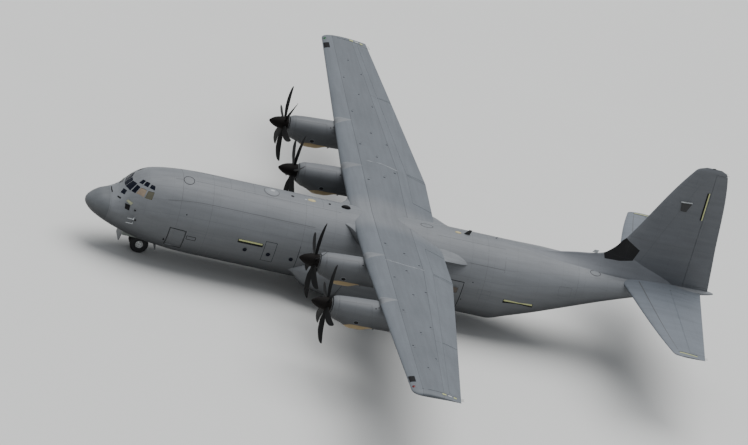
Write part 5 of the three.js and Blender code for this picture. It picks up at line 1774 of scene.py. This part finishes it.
class PLANE_OT_hinges(bpy.types.Operator):
    """Adds the hinges of the crew door, the ramp and the cargo door"""

    bl_idname = "plane.hinges"
    bl_label = "Door hinges"

    def execute(self, context):
        crew, ramp = (0, *CREW_HINGE), (RAMP_HINGE, 0, KEEL)
        cargo = (CARGO_DOOR_END, 0, CARGO_DOOR_HINGE)
        self.hinge("crew_door", "crew_door_body", "hull_paint", crew, 0, [(4.4, 5.16)])
        self.hinge("ramp", "ramp_body", "gear_white", ramp, 1, [(y - 0.06, y + 0.06) for y in (-0.5, 0.5)])
        spans = [(y - 0.04, y + 0.04) for y in (-0.26, 0.26)]
        self.hinge("cargo_door", "cargo_door_body", "gear_white", cargo, 1, spans)
        return {"FINISHED"}

    def hinge(self, name, body, look, centre, axis, spans):
        """Knuckles that ride with a door, each between two lugs whose pins end just outside it."""
        at = lambda place: np.array(centre) + np.eye(3)[axis] * place
        knuckles, lugs = [], []
        for low, high in spans:
            knuckles.append(tube([at(low), at(high)], 0.026))
            for end, out in ((low, -1), (high, 1)):
                lugs.append(tube([at(end + out * 0.01), at(end + out * 0.04)], 0.026))
                lugs.append(tube([at(end + out * 0.003), at(end + out * 0.045)], 0.012))
        piece(name + "_knuckles", painted(look, *knuckles), body=body)
        piece(name + "_lugs", painted(look, *lugs))


class PLANE_OT_gear(bpy.types.Operator):
    """Builds the sponsons, the landing gear and its doors"""

    bl_idname = "plane.gear"
    bl_label = "Landing gear"

    def execute(self, context):
        for end, side in SIDES.items():
            self.sponson(end, side)
            for place, x in MAIN_WHEELS.items():
                at, body = (x, side * MAIN_WHEEL_SIDE), f"main_wheel_{place}_{end}"
                self.wheel(f"main_{{}}_{place}_{end}", MAIN_TYRE, at, body)
            self.wheel(f"nose_{{}}_{end}", NOSE_TYRE, (NOSE_LEG, side * NOSE_WHEEL_SIDE), "nose_wheels")
            self.main_legs(end, side)
            self.main_door(end, side)
        self.nose_leg()
        self.nose_fork()
        self.nose_door("front", (2.39, 1.4), (2.248, 0.52), 1.1, 0.53)
        self.nose_door("rear", (4.158, 1.2), (4.308, 0.4), 0.85, 0.41)
        return {"FINISHED"}

    def main_legs(self, end, side):
        """Two legs under one rail: sleeve, bright piston, axle and the links behind."""
        y, axle = side * MAIN_LEG_SIDE, MAIN_TYRE[0]
        rail = soft_block(14.78, 16.7, *sorted((side * 1.56, side * 1.78)), 1.5, 1.636, 0.1)
        parts = painted("gear_white", rail)
        for x in MAIN_WHEELS.values():
            parts += painted(
                "bright_metal",
                turned([(0.085, 0.614), (0.085, 1.1)], (x, y, 0), 2, 40, False),
                tube([(x, side * 1.6, axle), (x, side * 2.365, axle)], 0.073, 36),
            )
            parts += painted(
                "gear_white",
                turned(MAIN_SLEEVE, (x, y, 0), 2, 40, False),
                soft_block(x - 0.11, x + 0.11, y - 0.06, y + 0.06, axle - 0.11, axle + 0.1, 0.4),
                tube([(x, side * 2.35, axle), (x, side * 2.38, axle)], 0.05, 6),
            )
            for near in (y - 0.045, y + 0.045):
                links = [(x + 0.08, near, axle + 0.06), (x + 0.21, near, axle + 0.1), (x + 0.09, near, 1.1)]
                parts += painted("gear_white", tube(links[:2], 0.03, 16), tube(links[1:], 0.03, 16))
            hose = [(x - 0.13, y, 1.5), (x - 0.17, y, 1.2), (x - 0.14, y, 0.9), (x - 0.08, y, axle + 0.02)]
            parts += painted("rubber", tube(hose, 0.014, 12))
        piece(f"main_legs_{end}_metal", parts, ["main_legs_" + end])

    def main_door(self, end, side):
        """The long door inboard of the main wheels, with a rib every 0.4 m on its inner face."""
        skin = lambda x, z, grow=0.0: points_of(x, side * (1.336 + (z - 0.465) * 0.072 + grow), z)
        outline = rounded(box_of(14.13, 17.35, 0.475, 1.05), 0.12)
        parts = painted("hull_paint", plate(skin, outline, 0.014, -0.014)) + painted(
            "inside_green",
            rim(skin, grown(outline, -0.02), 0.05, -0.02, -0.012),
            *(line(skin, [(x, 0.53), (x, 1.02)], 0.045, -0.024, -0.012) for x in spread(14.5, 17.0, 0.42)),
        )
        piece(f"main_door_{end}_panel", parts, ["main_door_" + end])

    def nose_leg(self):
        """The nose leg with its brace and lamps."""
        x = NOSE_LEG
        parts = painted(
            "gear_white",
            turned(NOSE_SLEEVE, (x, 0, 0), 2, 40, False),
            tube([(3.37, 0, 1.3), (2.7, 0, 1.5)], 0.05),
            tube([(x - 0.08, -0.2, 1.1), (x - 0.08, 0.2, 1.1)], 0.025, 16),
        )
        shell = [(0.03, -0.06), (0.07, -0.09), (0.08, -0.16), (0.074, -0.165), (0.06, -0.15)]
        lens = [(0.062, -0.152), (0.04, -0.165)]
        for y in (-0.18, 0.18):
            parts += painted("line_grey", turned(shell, (x, y, 1.1), 0, 28, False))
            parts += painted("lamp_clear", turned(lens, (x, y, 1.1), 0, 28, False))
        piece("nose_leg_metal", parts, ["nose_leg"])

    def nose_fork(self):
        """The fork that steers, with its axle and links."""
        x, axle = NOSE_LEG, NOSE_TYRE[0]
        fork = painted(
            "bright_metal",
            turned([(0.065, axle - 0.06), (0.065, 1.32)], (x, 0, 0), 2, 36, False),
            tube([(x, -0.42, axle), (x, 0.42, axle)], 0.053, 32),
        )
        yoke = soft_block(x - 0.08, x + 0.08, -0.1, 0.1, axle - 0.08, axle + 0.09, 0.4)
        fork += painted("gear_white", yoke)
        for y in (-0.035, 0.035):
            links = [(x - 0.06, y, axle + 0.07), (x - 0.17, y, axle + 0.19), (x - 0.07, y, 0.78)]
            fork += painted("gear_white", tube(links[:2], 0.022, 16), tube(links[1:], 0.022, 16))
        piece("nose_fork_metal", fork, ["nose_fork"], "nose_steering_body")

    def nose_door(self, name, high, low, top, foot):
        """A door across the hull, leaning from a high point to a low one, each in x and height."""
        (x0, z0), (x1, z1) = high, low
        skin = lambda y, z, grow=0.0: points_of(x0 + (x1 - x0) * (z - z0) / (z1 - z0) + grow, y, z)
        outline = rounded(box_of(-0.55, 0.55, foot, top), 0.1)
        parts = painted("hull_paint", plate(skin, outline, 0.016, -0.016))
        parts += painted("inside_green", rim(skin, grown(outline, -0.02), 0.04, 0.022, 0.012))
        piece(f"nose_door_{name}_panel", parts, ["nose_door_" + name])

    def sponson(self, end, side):
        """The long blister on the hull's side: half superellipses, cut by the hull, the well and the door."""
        x = spread(SPONSON[0][0], SPONSON[-1][0], 0.12)[:, None]
        out, top, bottom = columns(SPONSON, x)
        a = np.linspace(0, np.pi, 48)[None]
        y = side * (1.5 + (out - 1.5) * np.sin(a) ** 0.6)
        z = (top + bottom) / 2 + (top - bottom) / 2 * power(np.cos(a), 0.6)
        x0, x1, y0, y1, _, well_top = MAIN_WELL
        mesh = carved("sponson", loft(points_of(x, y, z)), "hull_paint", [
            cut(hull_solid(10.5, 22, SEAM)),
            cut(block(x0, x1, *sorted((side * y0, side * y1)), 0, well_top)),
            cut(door_cut(PARATROOP_DOOR, side, RUNNING_GAP)),
        ])
        piece(f"sponson_{end}_shell", mesh, ["sponson_" + end])

    def wheel(self, label, sizes, at, body):
        """A tyre with grooves in its tread, and its hub with bolts round it."""
        radius, width, bore = sizes
        half, centre = width / 2, (*at, radius)
        wall = np.array(TYRE_WALL) * (radius, -half)
        wall[0, 0] = bore
        grooves = [np.array(GROOVE) + (radius, half * place) for place in (-0.36, -0.12, 0.12, 0.36)]
        tyre = turned(np.concatenate([wall, *grooves, wall[::-1] * (1, -1)]), centre, 1, 96)
        name = label.format("tyre")
        piece(name + "_rubber", painted("rubber", tyre), [name], body)
        grow = np.array((bore / MAIN_TYRE[2], width / MAIN_TYRE[1]))
        hub = np.array(HUB) * grow
        parts = painted("gear_white", turned([*hub, *hub[::-1] * (1, -1)], centre, 1, 72))
        across, out = 0.094 * grow[1], 0.21 * grow[0]
        for side in SIDES.values():
            for a in circle(8):
                head = centre + np.array([out * np.sin(a), side * across, out * np.cos(a)])
                parts += painted("bright_metal", tube([head, head + (0, side * 0.03, 0)], 0.017, 6))
        name = label.format("hub")
        piece(name + "_wheel", parts, [name], body)


class PLANE_OT_stage(bpy.types.Operator):
    """Lays the floor and sets the lights and the camera"""

    bl_idname = "plane.stage"
    bl_label = "Stage"

    def execute(self, context):
        look = context.scene.plane_stage
        slab = block(-FLOOR_REACH, FLOOR_REACH, -FLOOR_REACH, FLOOR_REACH, -0.2, 0)
        sheet = mesh_of(painted("floor", slab))
        shown("floor", sheet)
        self.lights(look)
        self.camera(context)
        return {"FINISHED"}

    def lights(self, look):
        """A wide sun above, and an even sky."""
        sun = bpy.data.lights.new("top_light", "SUN")
        sun.energy, sun.angle = look.sun, np.radians(60)
        lamp = bpy.data.objects.new("top_light", sun)
        lamp.rotation_euler = (np.radians(-14), np.radians(10), 0)
        bpy.context.scene.collection.objects.link(lamp)
        world = bpy.data.worlds.new("studio")
        bpy.context.scene.world = world
        world.use_nodes = True
        background = world.node_tree.nodes["Background"]
        background.inputs["Color"].default_value = (0.9, 0.94, 1, 1)
        background.inputs["Strength"].default_value = look.sky

    def camera(self, context):
        """Behind a long lens, turned about its own axis by the bank of the photographed aircraft."""
        az, el, roll = VIEW_AZIMUTH, VIEW_ELEVATION, VIEW_ROLL
        back = np.array([np.sin(az) * np.cos(el), -np.cos(az) * np.cos(el), np.sin(el)])
        level = np.array([np.cos(az), np.sin(az), 0])
        above = np.cross(back, level)
        right = np.cos(roll) * level + np.sin(roll) * above
        up = np.cross(back, right)
        at = in_model(VIEW_TARGET) + back * VIEW_DISTANCE * MODEL_SCALE
        data = bpy.data.cameras.new("camera")
        data.lens, data.sensor_width, data.sensor_fit = LENS, SENSOR, "HORIZONTAL"
        data.clip_start, data.clip_end = 10, 1000
        camera = bpy.data.objects.new("camera", data)
        turn = Matrix(np.stack([right, up, back], 1).tolist())
        camera.matrix_world = Matrix.Translation(Vector(at)) @ turn.to_4x4()
        context.scene.collection.objects.link(camera)
        context.scene.camera = camera


GROUPS = (PlanePaint, PlaneStage)
BUILDERS = (
    PLANE_OT_stage, PLANE_OT_hull, PLANE_OT_doors, PLANE_OT_wings, PLANE_OT_tail, PLANE_OT_engines,
    PLANE_OT_gear, PLANE_OT_flight_deck, PLANE_OT_inside, PLANE_OT_hull_fittings,
    PLANE_OT_surface_fittings, PLANE_OT_hinges,
)


class PLANE_PT_build(bpy.types.Panel):
    """Lists the steps that build the aircraft and its settings"""

    bl_label = "Transport plane"
    bl_idname = "PLANE_PT_build"
    bl_space_type = "VIEW_3D"
    bl_region_type = "UI"
    bl_category = "Plane"

    def draw(self, context):
        scene = context.scene
        for name in ("hull", "wing", "stab", "fin", "tan", "radome"):
            self.layout.prop(scene.plane_paint, name)
        for name in ("floor", "sun", "sky"):
            self.layout.prop(scene.plane_stage, name)
        for builder in BUILDERS:
            self.layout.operator(builder.bl_idname)


def register():
    for cls in (*GROUPS, *BUILDERS, PLANE_PT_build):
        bpy.utils.register_class(cls)
    bpy.types.Scene.plane_paint = PointerProperty(type=PlanePaint)
    bpy.types.Scene.plane_stage = PointerProperty(type=PlaneStage)


def unregister():
    del bpy.types.Scene.plane_paint
    del bpy.types.Scene.plane_stage
    for cls in (PLANE_PT_build, *BUILDERS[::-1], *GROUPS[::-1]):
        bpy.utils.unregister_class(cls)


def main():
    """Builds every piece in order."""
    register()
    for builder in BUILDERS:
        step = builder.bl_idname.split(".")[1]
        if getattr(bpy.ops.plane, step)() != {"FINISHED"}:
            raise RuntimeError(f"{builder.bl_label} was not built")


if __name__ == "__main__":
    main()
